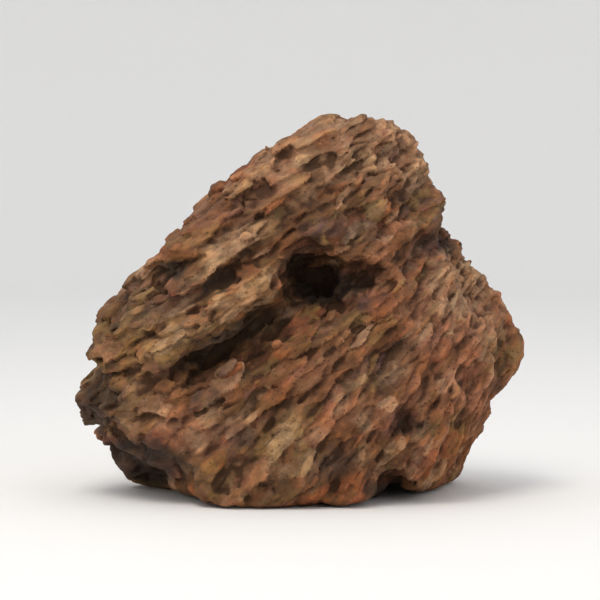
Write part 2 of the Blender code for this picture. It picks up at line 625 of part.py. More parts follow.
def dragon_stone_material():
    """Rust-brown, clay-rich rock with no shine."""
    material = bpy.data.materials.new("dragon_stone")
    material.use_nodes = True
    shader = material.node_tree.nodes["Principled BSDF"]
    shader.inputs["Base Color"].default_value = (0.168, 0.088, 0.049, 1.0)
    shader.inputs["Roughness"].default_value = 0.9
    shader.inputs["Metallic"].default_value = 0.0
    return material


def main():
    for obj in list(bpy.data.objects):
        bpy.data.objects.remove(obj)
    rng = Random(SEED)
    stone = bulk_object()
    fused(stone, BULK_VOXEL)
    press_hollows(stone, 1.0)
    fused(stone, BULK_VOXEL)
    bulk_tree = search_tree(stone.data)
    ball, ball_faces = ball_mesh()
    slabs = grown_slabs(stone.data, ball, rng)
    slabs += front_ledges(bulk_tree, ball, rng)
    slabs += placed_lumps(ball, rng)
    add_slabs(stone, slabs, ball_faces)
    fused(stone, VOXEL)
    trim_proud(stone, bulk_tree)
    press_hollows(stone, HOLLOW_DEEPER)
    trim_outline(stone)
    press_pits(stone, rng)
    fused(stone, VOXEL)
    largest_body(stone)
    stone.data.materials.append(dragon_stone_material())
    finish_shape(stone)


main()
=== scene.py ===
"""Looks of a dragon stone: its weathered skin, its iron-stained clay and a plain studio.

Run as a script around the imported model. The stone's front faces -Y, +X is to the right and +Z up,
and the origin is on the surface that it rests on. Sizes are in metres unless a name says mm.
"""

import itertools
import math

import bmesh
import bpy
import numpy as np
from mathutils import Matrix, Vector
from mathutils.bvhtree import BVHTree


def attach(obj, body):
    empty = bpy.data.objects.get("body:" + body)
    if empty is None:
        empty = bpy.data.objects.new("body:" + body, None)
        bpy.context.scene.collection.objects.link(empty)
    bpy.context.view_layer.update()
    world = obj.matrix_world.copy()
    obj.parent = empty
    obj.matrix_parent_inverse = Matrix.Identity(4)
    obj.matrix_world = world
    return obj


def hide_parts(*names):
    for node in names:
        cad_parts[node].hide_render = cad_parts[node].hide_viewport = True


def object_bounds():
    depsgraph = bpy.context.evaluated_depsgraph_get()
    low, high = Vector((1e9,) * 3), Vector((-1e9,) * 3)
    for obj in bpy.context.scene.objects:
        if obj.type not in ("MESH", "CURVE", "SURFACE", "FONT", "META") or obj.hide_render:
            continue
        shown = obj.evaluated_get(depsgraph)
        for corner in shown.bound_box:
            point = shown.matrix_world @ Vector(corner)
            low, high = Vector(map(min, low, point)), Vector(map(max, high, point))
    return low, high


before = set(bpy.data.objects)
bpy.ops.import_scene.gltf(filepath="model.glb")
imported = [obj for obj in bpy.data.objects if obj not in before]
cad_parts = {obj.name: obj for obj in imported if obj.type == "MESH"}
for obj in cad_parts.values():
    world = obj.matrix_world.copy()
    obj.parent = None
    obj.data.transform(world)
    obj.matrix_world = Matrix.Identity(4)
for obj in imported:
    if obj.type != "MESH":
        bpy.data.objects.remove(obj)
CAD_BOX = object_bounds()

bl_info = {
    "name": "Dragon Stone",
    "version": (1, 0, 0),
    "blender": (4, 5, 0),
    "location": "View3D > Sidebar > Dragon Stone",
    "description": "Weathers a faceted rock into dragon stone and sets it in a plain studio",
    "category": "Mesh",
}

MM = 0.001

# The beds of the rock rise to the right, steeper towards the lower right, and dip to the front.
GRAIN_RISES = (math.radians(31.0), math.radians(44.5), math.radians(58.0))
GRAIN_DIP = math.radians(16.0)
GRAIN_TURN_TOWARDS = np.array((0.6, 0.0, -0.8))
GRAIN_TURN_FROM = np.array((0.0, 0.0, 75.0)) * MM
GRAIN_TURN_START = -14.0 * MM
GRAIN_TURN_LENGTH = 84.0 * MM
GRAIN_SWAY_SPACING = 34.0 * MM
GRAIN_SWAY = 3.5 * MM

# Where the clay is stained, and where painted shade and painted light lie on it, as seen from
# SEEN_FROM on a plane SEEN_DISTANCE away. Each patch has its middle across and up from SEEN_ORIGIN
# on that plane, its half length and half height, all in mm, its rise in degrees and its strength.
SEEN_FROM = np.array((-51.0, -900.5, 118.5)) * MM
SEEN_DISTANCE = 897.0 * MM
SEEN_ORIGIN = np.array((52.0, -118.5)) * MM
STAINS_AND_PAINTED_SHADING = {
    "rust": (
        (12, 136, 17, 5, 5, 1.0), (-26, 123, 9, 5, 30, 0.9), (31, 72, 8, 5, 60, 1.0),
        (52, 15, 13, 8, 20, 1.0), (62, 50, 7, 12, 70, 0.6), (14, -2, 14, 7, 20, 1.0),
        (-2, 62, 7, 4, 20, 0.7), (-58, 20, 9, 5, 40, 0.5), (3, 25, 6, 5, 50, 0.4),
    ),
    "ochre": (
        (-62, 56, 24, 10, 30, 0.9), (-24, 80, 18, 5, 33, 0.7), (-66, 34, 10, 10, 60, 0.9),
        (-6, 20, 10, 18, 60, 0.9), (-28, 8, 20, 8, 20, 0.7), (57, 22, 9, 7, 30, 0.9),
        (80, 50, 6, 9, 80, 0.7), (12, 60, 14, 7, 30, 0.5), (-42, 88, 12, 5, 28, 0.5),
    ),
    "salmon": (
        (-8, 124, 11, 9, 50, 1.0), (28, 130, 22, 13, -20, 0.9), (-38, 104, 14, 6, 35, 0.6),
        (56, 66, 16, 20, 70, 0.9), (66, 40, 13, 16, 70, 0.9), (-44, 24, 9, 11, 50, 0.9),
        (16, 35, 10, 8, 40, 0.8), (30, 26, 9, 5, 50, 0.6), (-54, 40, 7, 5, 20, 0.5),
        (44, 14, 10, 5, 20, 0.5), (10, 50, 14, 6, 20, 0.5), (28, 88, 8, 6, 10, 0.6),
    ),
    "olive": (
        (32, 114, 20, 9, 40, 1.0), (50, 108, 7, 12, 80, 0.8), (-28, 62, 30, 8, 27, 0.9),
        (-70, 66, 12, 8, 35, 0.6), (-22, 98, 16, 5, 24, 0.5), (9, 145, 6, 3, 0, 0.9),
        (-18, 24, 8, 14, 55, 0.6), (34, 14, 9, 7, 30, 0.6), (-46, 46, 16, 5, 25, 0.5),
    ),
    "plum": (
        (-76, 32, 9, 12, 60, 0.6), (14, 101, 14, 6, 5, 1.0), (39, 133, 8, 5, -30, 0.9),
        (52, 94, 10, 5, 0, 0.9), (12, 78, 16, 8, 6, 0.8), (34, 47, 7, 6, 30, 0.5),
        (40, 26, 9, 5, 20, 1.0), (10, 12, 8, 6, 45, 0.9), (-68, 14, 16, 9, 0, 0.9),
        (-52, 46, 8, 4, 20, 0.7), (-50, 78, 12, 5, 30, 0.6), (-30, 22, 8, 5, 50, 0.6),
        (44, 58, 5, 10, 80, 0.6), (30, 2, 9, 5, 20, 0.8),
    ),
    # Pale: bleached clay on the hard beds, and on the top of the stone also painted light from
    # above.
    "pale": (
        (-24, 98, 14, 4.5, 22, 1.0), (-33, 88, 10, 3.5, 25, 0.9), (-23, 77, 16, 4, 33, 0.85),
        (-46, 62, 20, 3.5, 33, 0.9), (-62, 69, 9, 3.5, 35, 0.6), (-61, 86, 8, 5, 40, 0.9),
        (-8, 19, 16, 3.5, 60, 0.9), (-3, 9, 10, 3, 28, 0.9), (-40, 23, 14, 4, 56, 0.7),
        (-66, 38, 12, 4, 62, 0.5), (14, 35, 5, 4, 40, 0.9), (24, 27, 5, 4, 40, 0.8),
        (35, 46, 7, 5, 30, 0.7), (-7, 125, 7, 9, 60, 1.0), (21, 127, 9, 5, 20, 1.2),
        (60, 80, 12, 12, 60, 1.2), (72, 62, 7, 8, 60, 0.6), (2, 116, 14, 3, 42, 0.6),
        (34, 136, 12, 8, -20, 1.2), (46, 124, 6, 10, -60, 1.0), (18, 133, 28, 12, 0, 0.9),
    ),
    # Silt: a dark film in the hollows, the undercut, under ledges and at the foot: silt and painted
    # shade.
    "silt_and_painted_shade": (
        (-79, 34, 11, 9, 60, 0.75), (9, 79, 14, 7, 8, 1.0), (-3, 88, 8, 6, 30, 0.7),
        (-30, 58, 20, 5, 27, 0.7), (-50, 85, 5, 4, 30, 0.8), (-33, 80, 10, 3, 30, 0.85),
        (12, 8, 12, 6, 30, 0.55), (-66, 11, 22, 9, 0, 0.9), (50, 95, 10, 4, 0, 0.6),
        (31, -1, 8, 5, 20, 0.9), (40, 26, 6, 4, 20, 0.6), (-75, 47, 6, 3, 10, 0.5),
    ),
}
# Where the front is worn calm, in the same numbers.
CALM = (
    (60, 60, 20, 34, 80, 0.5),
    (20, 36, 30, 14, 40, 0.35),
    (50, 15, 14, 9, 20, 0.4),
    (36, 130, 20, 12, -40, 0.35),
    (-4, 124, 12, 9, 50, 0.3),
)
# The front's patches fade out towards this far behind the middle, and as the skin turns away: they
# are whole where the cosine of its turn from the viewer is the second number, gone at the first.
FRONT_DEPTH = 45.0 * MM
FRONT_TURN = (-0.5, 0.1)
# A patch's edge wanders this far, in lumps of this size. It ends at 1.45 times the patch's half
# size, and takes 0.9 of that half size to fade.
PATCH_RAGGED = 5.0 * MM
PATCH_LUMPS = 7.0 * MM
PATCH_EDGE = 1.45
PATCH_FADE = 0.9
# Stains strewn over the rest: their lengths along, into and across the beds, from which to which
# value their noise shows, how they gather in clusters, how strong strays are, and how much weaker
# they all are on the front.
STAIN_LENGTHS_MM = (16.5, 11.0, 6.6)
STAIN_STREWN = (0.14, 0.42)
STAIN_CLUSTERS = 42.0 * MM
STAIN_CLUSTERED = (-0.2, 0.25)
STAIN_STRAY = 0.25
STAIN_FRONT_LOSS = 0.45

# Each number starts another random pattern, and small numbers added to it start more of them.
CHIP_SALT = 500
FLAKE_SALT = 3
SCALLOP_SALT = 100
SLOT_SALT = 140
STAIN_SALT = 200
GRIT_SALT = 300
TONE_SALT = 400
# Steps between neighbouring cells of a pattern, and the factor that scrambles them.
CELL_STEPS = np.array((73856093, 19349663, 83492791))
CELL_SCRAMBLE = 2654435761
NOISE_SLOPES = 256
# Each layer of noise is this much finer and weaker than the last.
LAYER_FINER = 2.03
LAYER_WEAKER = 0.5

# The skin is fused anew at these voxel sizes: from the solid, with the flakes, and for the chips.
ROCK_VOXEL = 1.1 * MM
FLAKE_VOXEL = 0.85 * MM
CHIP_VOXEL = 0.72 * MM
# Each wear: the rounds of evening out, how far a tip may stick out, and how well the skin around a
# point must face one way, or else it is thin enough to snap off.
ROCK_WEAR = (90, 1.8 * MM)
FLAKE_WEAR = (40, 1.0 * MM, 0.55)
FLAKE_EDGE_WEAR = (14, 0.25 * MM)
CHIP_EDGE_WEAR = (4, 0.5 * MM)
CHIP_WEAR = (40, 1.5 * MM, 0.55)
SLIVER_WEAR = (15, 1.2 * MM, 0.62)
LAST_WEAR = (5, 0.8 * MM, 0.45)
# How much less agreement than that snaps all of it off, and the least that is reckoned with.
SNAP_RANGE = 0.25
LEAST_AGREEMENT = 0.05
# The rounds that find the solid's pits, how deep they must be, and how much of them is filled. A
# silt and painted-shade patch keeps its pits from being filled this many times as strongly as it
# darkens.
PIT_FILLING = (90, 0.8 * MM, 0.85)
SILT_AND_SHADE_KEEPS = 1.6
# Up to these heights the stone is rubbed: at the ground, tips and chips stand out by only these
# shares. The rock isn't drawn in at the ground, so that its foot stays down.
FOOT_HEIGHT = 12.0 * MM
FOOT_TIPS = 0.25
FOOT_CHIPS_HEIGHT = 10.0 * MM
FOOT_CHIPS = 0.4
FOOT_FACE_HEIGHT = 8.0 * MM

# Flakes: how far the rock is drawn in for them, how they turn from the grain, how their sizes
# spread about the middle ones, how far they stand out as parts of their thickness, how square,
# tapered, bent and uneven they are, where their ends are, how far those may hang over an edge
# before the flake is made smaller, and how far what is left of them may stand out of the rock.
FLAKE_ROOM = 1.0 * MM
FLAKE_TURN = math.radians(8.0)
FLAKE_LENGTHS = (0.6, 1.6)
FLAKE_WIDTHS = (0.5, 0.9)
FLAKE_THICKNESSES = (0.65, 1.4)
FLAKE_PROUD = (0.15, 0.65)
FLAKE_SQUARENESS = 8.0
FLAKE_TAPERS = (0.05, 0.3)
FLAKE_BEND = 0.45
FLAKE_LUMPS = 1.5
FLAKE_UNEVEN = 0.3
FLAKE_ENDS = (-0.45, 0.45)
FLAKE_OVERHANG = 1.0 * MM
FLAKE_TRIES = 6
FLAKE_SHRINK = 0.8
FLAKE_SNAP = 1.7 * MM

# Chips: how wide they are as a part of their length, how their beds sway, how far one may tilt
# along, into and across the beds, and over how many rounds the way they face is evened out. Most
# lean so that they overlap. The cracks' numbers are parts of a chip's size and of its depth.
CHIP_KINDS = 1024
CHIP_WIDTH = 0.8
CHIP_SWAY_SPACING = 9.0 * MM
CHIP_SWAY_MM = 2.5
CHIP_TILTS = ((-0.7, -0.7, -2.0), (0.7, 0.7, -0.4))
CHIP_FACING_ROUNDS = 14
CRACK_WIDTH = 0.2
CRACK_EDGE = 0.8
CRACK_DEPTH = 0.7
# Patches: how far apart they are, how strong in the middle, how much that changes with the noise,
# and how strong at most.
CRACK_PATCHES = (16.0 * MM, 0.35, 1.8, 1.2)
CRAG_PATCHES = (36.0 * MM, 0.8, 0.6, 2.0)

# Scallops and slots: how long and broad they are in spacings, how far from their middle line they
# reach in the noise, how steep their sides are, and in which patches they are deep.
SCALLOP_LENGTHS = (3.0, 2.4)
SCALLOP_REACH = 0.34
SCALLOP_SIDES = 0.65
SCALLOP_LEVEL = 0.45
SCALLOP_PATCHES = (22.0 * MM, 1.0, 0.5, 2.0)
SLOT_SPACING = 0.75
SLOT_DEPTH = 0.95 * MM
SLOT_LENGTHS = (3.4, 2.6)
SLOT_REACH = 0.2
SLOT_SIDES = 0.7
SLOT_PATCHES = (14.0 * MM, 0.6, 1.6, 1.4)

# Pits: how they turn from the grain, how their sizes spread, how flat and how deep they are as
# parts of their size, how steep their sides are, and how far round an edge they go.
PIT_TURN = math.radians(14.0)
PIT_SIZES = (0.45, 1.0)
PIT_LARGEST = 1.9
PIT_FLATNESS = (0.28, 0.6)
PIT_DEPTHS = (0.5, 1.0)
PIT_SIDES = 0.4
PIT_ROUND_EDGE = 0.3

# Fine grit lies on coarser lumps, each this many times as high as the grit's own setting.
GRIT_SPACING = 2.2 * MM
LUMP_SPACING = 6.0 * MM
GRIT_HEIGHT = 1.4
# What comes nearer to the CAD's box than this is eased back.
BOX_SOFTNESS = 0.8 * MM
SHARP_ANGLE = math.radians(50.0)
# The relief that the colours follow: rounds of evening out, and how much what stands out of that
# counts for crevices and for ridges. Then where both begin and are full.
RELIEF = ((6, 1.4, 1.2), (60, 0.42, 0.6), (400, 0.07, 0.0))
# Crevices are darkened as dirt and painted shade, and ridges lightened as rubbed clay and a painted
# highlight.
CREVICES = (0.12 * MM, 1.25 * MM)
RIDGES = (0.1 * MM, 0.75 * MM)
# The tone's lengths along, into and across the beds, and the spacing of its broad patches.
TONE_LENGTHS_MM = (13.0, 10.0, 3.2)
TONE_SPACING = 30.0 * MM
# How much red, green and blue light the clay gives back, where bare clay gives 1: on ridges rubbed
# and with a painted highlight, in crevices dirty and with painted shade.
RUBBED_AND_HIGHLIT = (1.8, 1.72, 1.55)
DIRTY_AND_SHADED = (0.58, 0.52, 0.48)

# The studio: the floor's and the wall's sizes in metres, and the lamps.
FLOOR_RADIUS = 1.7
FLOOR_RISE = 0.6
FLOOR_STEPS = 16
FLOOR_SIDES = 96
WALL_HEIGHT = 2.2
KEY_PLACE = (-0.22, -0.42, 0.95)
KEY_SIZE = 0.42
KEY_COLOUR = "#fff6ea"
FILL_PLACE = (0.75, -0.85, 0.55)
FILL_SIZE = 0.6
FILL_COLOUR = "#f2f6ff"
ROOM_COLOUR = "#eef0f4"


def linear(colour):
    """An sRGB hex colour as linear red, green and blue."""
    values = [int(colour[i:i + 2], 16) / 255.0 for i in (1, 3, 5)]
    return tuple(v / 12.92 if v <= 0.04045 else ((v + 0.055) / 1.055) ** 2.4 for v in values)


def colour_property(name, description, colour):
    """A colour that the user can change."""
    return bpy.props.FloatVectorProperty(
        name=name, description=description, subtype="COLOR", size=3, min=0.0, max=1.0,
        default=linear(colour))


def length_property(name, description, default, least=0.0):
    """A length that the user can change."""
    return bpy.props.FloatProperty(
        name=name, description=description, subtype="DISTANCE", unit="LENGTH", min=least,
        default=default)


class RockWear(bpy.types.PropertyGroup):
    """How finely the rock has weathered."""

    seed: bpy.props.IntProperty(
        name="Seed", description="Another number gives other flakes and pits", default=11, min=0)
    flakes: bpy.props.IntProperty(
        name="Flakes", description="How many thin flakes stand out of the beds", default=1700,
        min=0)
    flake_length: length_property(
        "Flake length", "Middle length of a flake along its bed", 11.0 * MM, 2.0 * MM)
    flake_thickness: length_property(
        "Flake thickness", "Middle thickness of a flake", 2.6 * MM, 0.5 * MM)
    pits: bpy.props.IntProperty(
        name="Pits", description="How many small holes soft clay has washed out of",
        default=150, min=0)
    pit_length: length_property(
        "Pit length", "Half length of a middling pit", 2.0 * MM, 0.3 * MM)
    chip_length: length_property(
        "Chip length", "Length of the angular chips that the skin breaks into", 13.0 * MM, 1.0 * MM)
    chip_thickness: length_property(
        "Chip thickness", "Thickness of those chips across the beds", 4.2 * MM, 0.5 * MM)
    chip_depth: length_property(
        "Chip depth", "How far one chip stands out beside the next", 1.35 * MM)
    scallop_spacing: length_property(
        "Scallop spacing", "Distance across the beds between sharp crests", 4.8 * MM, 0.5 * MM)
    scallop_depth: length_property(
        "Scallop depth", "How deep the hollows between the crests are worn", 0.8 * MM)
    grit: length_property(
        "Grit", "Height of the smallest modelled roughness", 0.22 * MM)
    triangles: bpy.props.IntProperty(
        name="Triangles", description="Most triangles that the finished skin may have",
        default=196000, min=10000)


class RockColours(bpy.types.PropertyGroup):
    """Colours of the clay, of what stains it, and of the painted shade and light on it."""

    clay: colour_property("Clay", "Brown of the bare, clay-rich rock", "#744828")
    umber: colour_property("Umber", "Darker beds of the same rock", "#412815")
    ochre: colour_property("Ochre", "Yellow-brown iron stain", "#84683c")
    rust: colour_property("Rust", "Orange-red iron stain", "#8c4b28")
    salmon: colour_property("Salmon", "Pale pink-brown clay", "#96644b")
    olive: colour_property("Olive", "Olive-brown film of fine silt", "#54482a")
    plum: colour_property("Plum", "Purple-grey manganese film", "#493237")
    # Pale clay colour: bleached clay, and on the top also painted light from above.
    pale: colour_property("Pale clay", "Bleached clay on the hard beds", "#a18263")
    # Silt colour: the dark film in hollows and undercuts, which is silt and painted shade.
    silt_and_painted_shade: colour_property("Silt", "Black-green silt that has settled in the hollows", "#2a241c")
    # Dust colour: pale dust on upward faces, which also paints them lighter as if lit from above.
    dust_and_top_light: colour_property("Dust", "Pale clay dust on the edges", "#b58a64")
    # Crevice colour: dark dirt and painted shade in the pits, crevices and pores.
    crevice: colour_property("Crevice", "Dark dirt deep in the pits", "#3c2713")


class StudioSetup(bpy.types.PropertyGroup):
    """The plain stage, its light and the camera."""

    floor: colour_property("Floor", "Colour of the floor and the wall it turns into", "#efeeec")
    key_power: bpy.props.FloatProperty(
        name="Key light", description="Power of the lamp over the stone", default=3.95, min=0.0,
        unit="POWER")
    fill_power: bpy.props.FloatProperty(
        name="Fill light", description="Power of the lamp at the front", default=1.3, min=0.0,
        unit="POWER")
    room_light: bpy.props.FloatProperty(
        name="Room light", description="Strength of the light from all around", default=1.15,
        min=0.0)
    camera_place: bpy.props.FloatVectorProperty(
        name="Camera place", description="Where the camera stands",
        default=tuple(SEEN_FROM), subtype="TRANSLATION", unit="LENGTH")
    lens: bpy.props.FloatProperty(
        name="Lens", description="Focal length in millimetres on a 36 mm sensor", default=140.0,
        min=10.0)


def random_table(salt):
    """Unit directions, from which the noise is made."""
    table = np.random.default_rng(salt).normal(size=(NOISE_SLOPES, 3))
    return table / np.linalg.norm(table, axis=1)[:, None]


def scrambled(cell, salt, count):
    """A number below count for each cell, the same each time. The count is a power of 2."""
    key = cell @ CELL_STEPS + salt
    key = (key ^ (key >> 11)) * CELL_SCRAMBLE
    return (key >> 9) & (count - 1)


def rock_noise(places, salt):
    """Smooth noise of about -0.7 to 0.7 with one lump for each whole step of the places."""
    table = random_table(salt)
    cell = np.floor(places).astype(np.int64)
    part = places - cell
    fade = part ** 3 * (part * (part * 6.0 - 15.0) + 10.0)
    total = np.zeros(len(places))
    for corner in itertools.product((0, 1), repeat=3):
        corner = np.array(corner)
        slope = table[scrambled(cell + corner, 0, NOISE_SLOPES)]
        weight = np.where(corner == 1, fade, 1.0 - fade).prod(axis=1)
        total += weight * ((part - corner) * slope).sum(axis=1)
    return total


def layered_noise(places, salt, layers):
    """Noise with finer and weaker noise on it."""
    total = np.zeros(len(places))
    for layer in range(layers):
        total += rock_noise(places * LAYER_FINER ** layer, salt + layer) * LAYER_WEAKER ** layer
    return total


def patchy(points, salt, spacing, mean, change, most):
    """Strong in some patches and weak in others, which lie this far apart."""
    return np.clip(mean + change * rock_noise(points / spacing, salt), 0.0, most)


def noise_shift(places, salt):
    """A smooth random shift along each axis."""
    return np.array([rock_noise(places, salt + i) for i in range(3)]).T


def bed_axes(rise):
    """Axes of the beds as rows: along the grain, into the stone and across the bedding."""
    along = np.array((math.cos(rise), 0.0, math.sin(rise)))
    away = np.array((0.0, math.cos(GRAIN_DIP), math.sin(GRAIN_DIP)))
    up = np.cross(along, away)
    up /= np.linalg.norm(up)
    return np.array((along, np.cross(up, along), up))


def grain_turn(points):
    """How far the grain has turned from its least to its greatest rise, from 0 to 1."""
    along = (points - GRAIN_TURN_FROM) @ GRAIN_TURN_TOWARDS
    return eased((along - GRAIN_TURN_START) / GRAIN_TURN_LENGTH, 0.0, 1.0)


def grain_weights(points):
    """How much each rise of the grain counts at each point."""
    turn = grain_turn(points) * (len(GRAIN_RISES) - 1)
    return [np.clip(1.0 - np.abs(turn - i), 0.0, 1.0) for i in range(len(GRAIN_RISES))]


def bed_places(points):
    """Each point's place along, into and across the beds, which bend as the grain turns."""
    places = np.zeros_like(points)
    for rise, weight in zip(GRAIN_RISES, grain_weights(points)):
        places += weight[:, None] * ((points - GRAIN_TURN_FROM) @ bed_axes(rise).T)
    return places


def bedded_noise(points, lengths_mm, salt, layers=1):
    """Noise drawn out along the beds: its lumps have these lengths along, into and across them."""
    swayed = points + noise_shift(points / GRAIN_SWAY_SPACING, salt + 50) * GRAIN_SWAY
    total = np.zeros(len(points))
    squares = np.zeros(len(points))
    for i, weight in enumerate(grain_weights(points)):
        places = swayed @ bed_axes(GRAIN_RISES[i]).T / (np.array(lengths_mm) * MM)
        total += weight * layered_noise(places, salt + 7 * i, layers)
        squares += weight ** 2
    return total / np.sqrt(squares)


def mesh_values(items, name, width, kind):
    """One of the values of a mesh's items, this many numbers for each."""
    values = np.empty(len(items) * width, kind)
    items.foreach_get(name, values)
    return values.reshape(-1, width)


def mesh_arrays(mesh):
    """The mesh's points and normals."""
    return [mesh_values(mesh.vertices, name, 3, np.float32).astype(float)
            for name in ("co", "normal")]


def mesh_edges(mesh):
    """The mesh's edges, as pairs of points."""
    return mesh_values(mesh.edges, "vertices", 2, np.int32)


def mesh_corners(mesh):
    """The faces of a mesh whose faces all have the same number of corners."""
    corners = mesh_values(mesh.loops, "vertex_index", 1, np.int32)
    return corners.reshape(len(mesh.polygons), -1)


def set_points(mesh, points):
    """Moves the mesh's points."""
    mesh.vertices.foreach_set("co", points.astype(np.float32).reshape(-1))
    mesh.update()


def new_mesh(points, corners):
    """A mesh made of points and of faces that all have the same number of corners."""
    mesh = bpy.data.meshes.new("dragon_stone_skin")
    mesh.vertices.add(len(points))
    mesh.vertices.foreach_set("co", points.astype(np.float32).reshape(-1))
    mesh.loops.add(corners.size)
    mesh.loops.foreach_set("vertex_index", corners.astype(np.int32).reshape(-1))
    mesh.polygons.add(len(corners))
    starts = np.arange(0, corners.size, corners.shape[1], dtype=np.int32)
    mesh.polygons.foreach_set("loop_start", starts)
    mesh.update(calc_edges=True)
    return mesh


def apply_modifiers(skin):
    """Makes what the modifiers give the object's own mesh."""
    evaluated = skin.evaluated_get(bpy.context.evaluated_depsgraph_get())
    mesh = bpy.data.meshes.new_from_object(evaluated)
    skin.modifiers.clear()
    skin.data = mesh


def fuse(skin, voxel):
    """Fuses what overlaps into one skin, whose points and faces always come in the same order."""
    remesh = skin.modifiers.new("fuse", "REMESH")
    remesh.mode = "VOXEL"
    remesh.voxel_size = voxel
    apply_modifiers(skin)
    points, _ = mesh_arrays(skin.data)
    corners = mesh_corners(skin.data)
    order = np.lexsort(points.T)
    place = np.empty(len(points), np.int64)
    place[order] = np.arange(len(points))
    corners = place[corners]
    turned = (np.arange(corners.shape[1]) + corners.argmin(axis=1)[:, None]) % corners.shape[1]
    corners = np.take_along_axis(corners, turned, axis=1)
    skin.data = new_mesh(points[order], corners[np.lexsort(corners.T)])
    keep_largest(skin)


def keep_largest(skin):
    """Deletes what doesn't hang together with the rest, such as crumbs and closed bubbles."""
    points, _ = mesh_arrays(skin.data)
    corners = mesh_corners(skin.data)
    edges = mesh_edges(skin.data)
    label = np.arange(len(points))
    while True:
        before = label.copy()
        least = np.minimum(label[edges[:, 0]], label[edges[:, 1]])
        np.minimum.at(label, edges[:, 0], least)
        np.minimum.at(label, edges[:, 1], least)
        label = label[label]
        if (label == before).all():
            break
    kept = label == np.bincount(label).argmax()
    place = np.cumsum(kept) - 1
    skin.data = new_mesh(points[kept], place[corners[kept[corners[:, 0]]]])


def neighbour_mean(values, edges):
    """The mean of each point's neighbours."""
    count = len(values)
    ends = np.concatenate((edges[:, 0], edges[:, 1]))
    others = np.concatenate((edges[:, 1], edges[:, 0]))
    around = np.bincount(ends, minlength=count)
    columns = values.reshape(count, -1)
    sums = [np.bincount(ends, weights=column[others], minlength=count) for column in columns.T]
    return (np.array(sums) / np.maximum(around, 1)).T.reshape(values.shape)


def relaxed(values, edges, rounds, share=0.5):
    """Values evened out over the skin."""
    for _ in range(rounds):
        values = values + (neighbour_mean(values, edges) - values) * share
    return values


def surface_spots(mesh, count, rng):
    """Points spread evenly over the skin, each with its normal."""
    points, normals = mesh_arrays(mesh)
    corners = mesh_corners(mesh)
    a, b, c = (points[corners[:, i]] for i in range(3))
    areas = np.linalg.norm(np.cross(b - a, c - a), axis=1)
    picked = rng.choice(len(corners), count, p=areas / areas.sum())
    u, v = rng.random(count), rng.random(count)
    over = u + v > 1.0
    u[over], v[over] = 1.0 - u[over], 1.0 - v[over]
    weights = np.array((1.0 - u - v, u, v)).T
    spots = (points[corners[picked, :3]] * weights[:, :, None]).sum(axis=1)
    facing = (normals[corners[picked, :3]] * weights[:, :, None]).sum(axis=1)
    return spots, facing / np.linalg.norm(facing, axis=1)[:, None]


def spot_axes(spots, normals, jitter, rng):
    """For each spot, its flake's axes: along the ledge, into the stone and across the bedding."""
    rises = GRAIN_RISES[0] + grain_turn(spots) * (GRAIN_RISES[-1] - GRAIN_RISES[0])
    rises = rises + rng.normal(0.0, jitter, len(spots))
    axes = []
    for rise, normal in zip(rises, normals):
        along, _, up = bed_axes(rise)
        ledge = np.cross(up, normal)
        flatness = 1.0 - np.linalg.norm(ledge)
        ledge = ledge * math.copysign(1.0, ledge @ along) + along * (0.3 * flatness)
        ledge -= up * (ledge @ up)
        ledge /= np.linalg.norm(ledge)
        axes.append((ledge, np.cross(up, ledge), up))
    return np.array(axes)


def unit_ball(steps):
    """The points and faces of a ball."""
    mesh = bmesh.new()
    bmesh.ops.create_icosphere(mesh, subdivisions=steps, radius=1.0)
    points = np.array([vert.co for vert in mesh.verts])
    corners = np.array([[vert.index for vert in face.verts] for face in mesh.faces])
    mesh.free()
    return points, corners


def draw_in(skin, depth):
    """Draws the surface in, to make room for what stands out of it, but leaves the foot's face."""
    points, normals = mesh_arrays(skin.data)
    drawn = depth * eased(points[:, 2], 0.0, FOOT_FACE_HEIGHT)
    set_points(skin.data, points - normals * drawn[:, None])


def surface_tree(mesh):
    """The surface of a mesh, in which the nearest spot is found quickly."""
    points, _ = mesh_arrays(mesh)
    return BVHTree.FromPolygons(points.tolist(), mesh_corners(mesh).tolist())


def outside(rock, place):
    """How far a place lies outside the rock."""
    spot, normal, _, distance = rock.find_nearest(place)
    return distance if (Vector(place) - spot).dot(normal) > 0.0 else 0.0


def snap_off(skin, rock, limit):
    """Snaps off what stands out of the rock further than the limit, such as the ends of flakes."""
    points, _ = mesh_arrays(skin.data)
    for i, place in enumerate(points.tolist()):
        if rock.find_nearest(place, limit)[0] is None and outside(rock, place) > 0.0:
            spot, _, _, distance = rock.find_nearest(place)
            points[i] = spot + (Vector(place) - spot) * (limit / distance)
    set_points(skin.data, points)


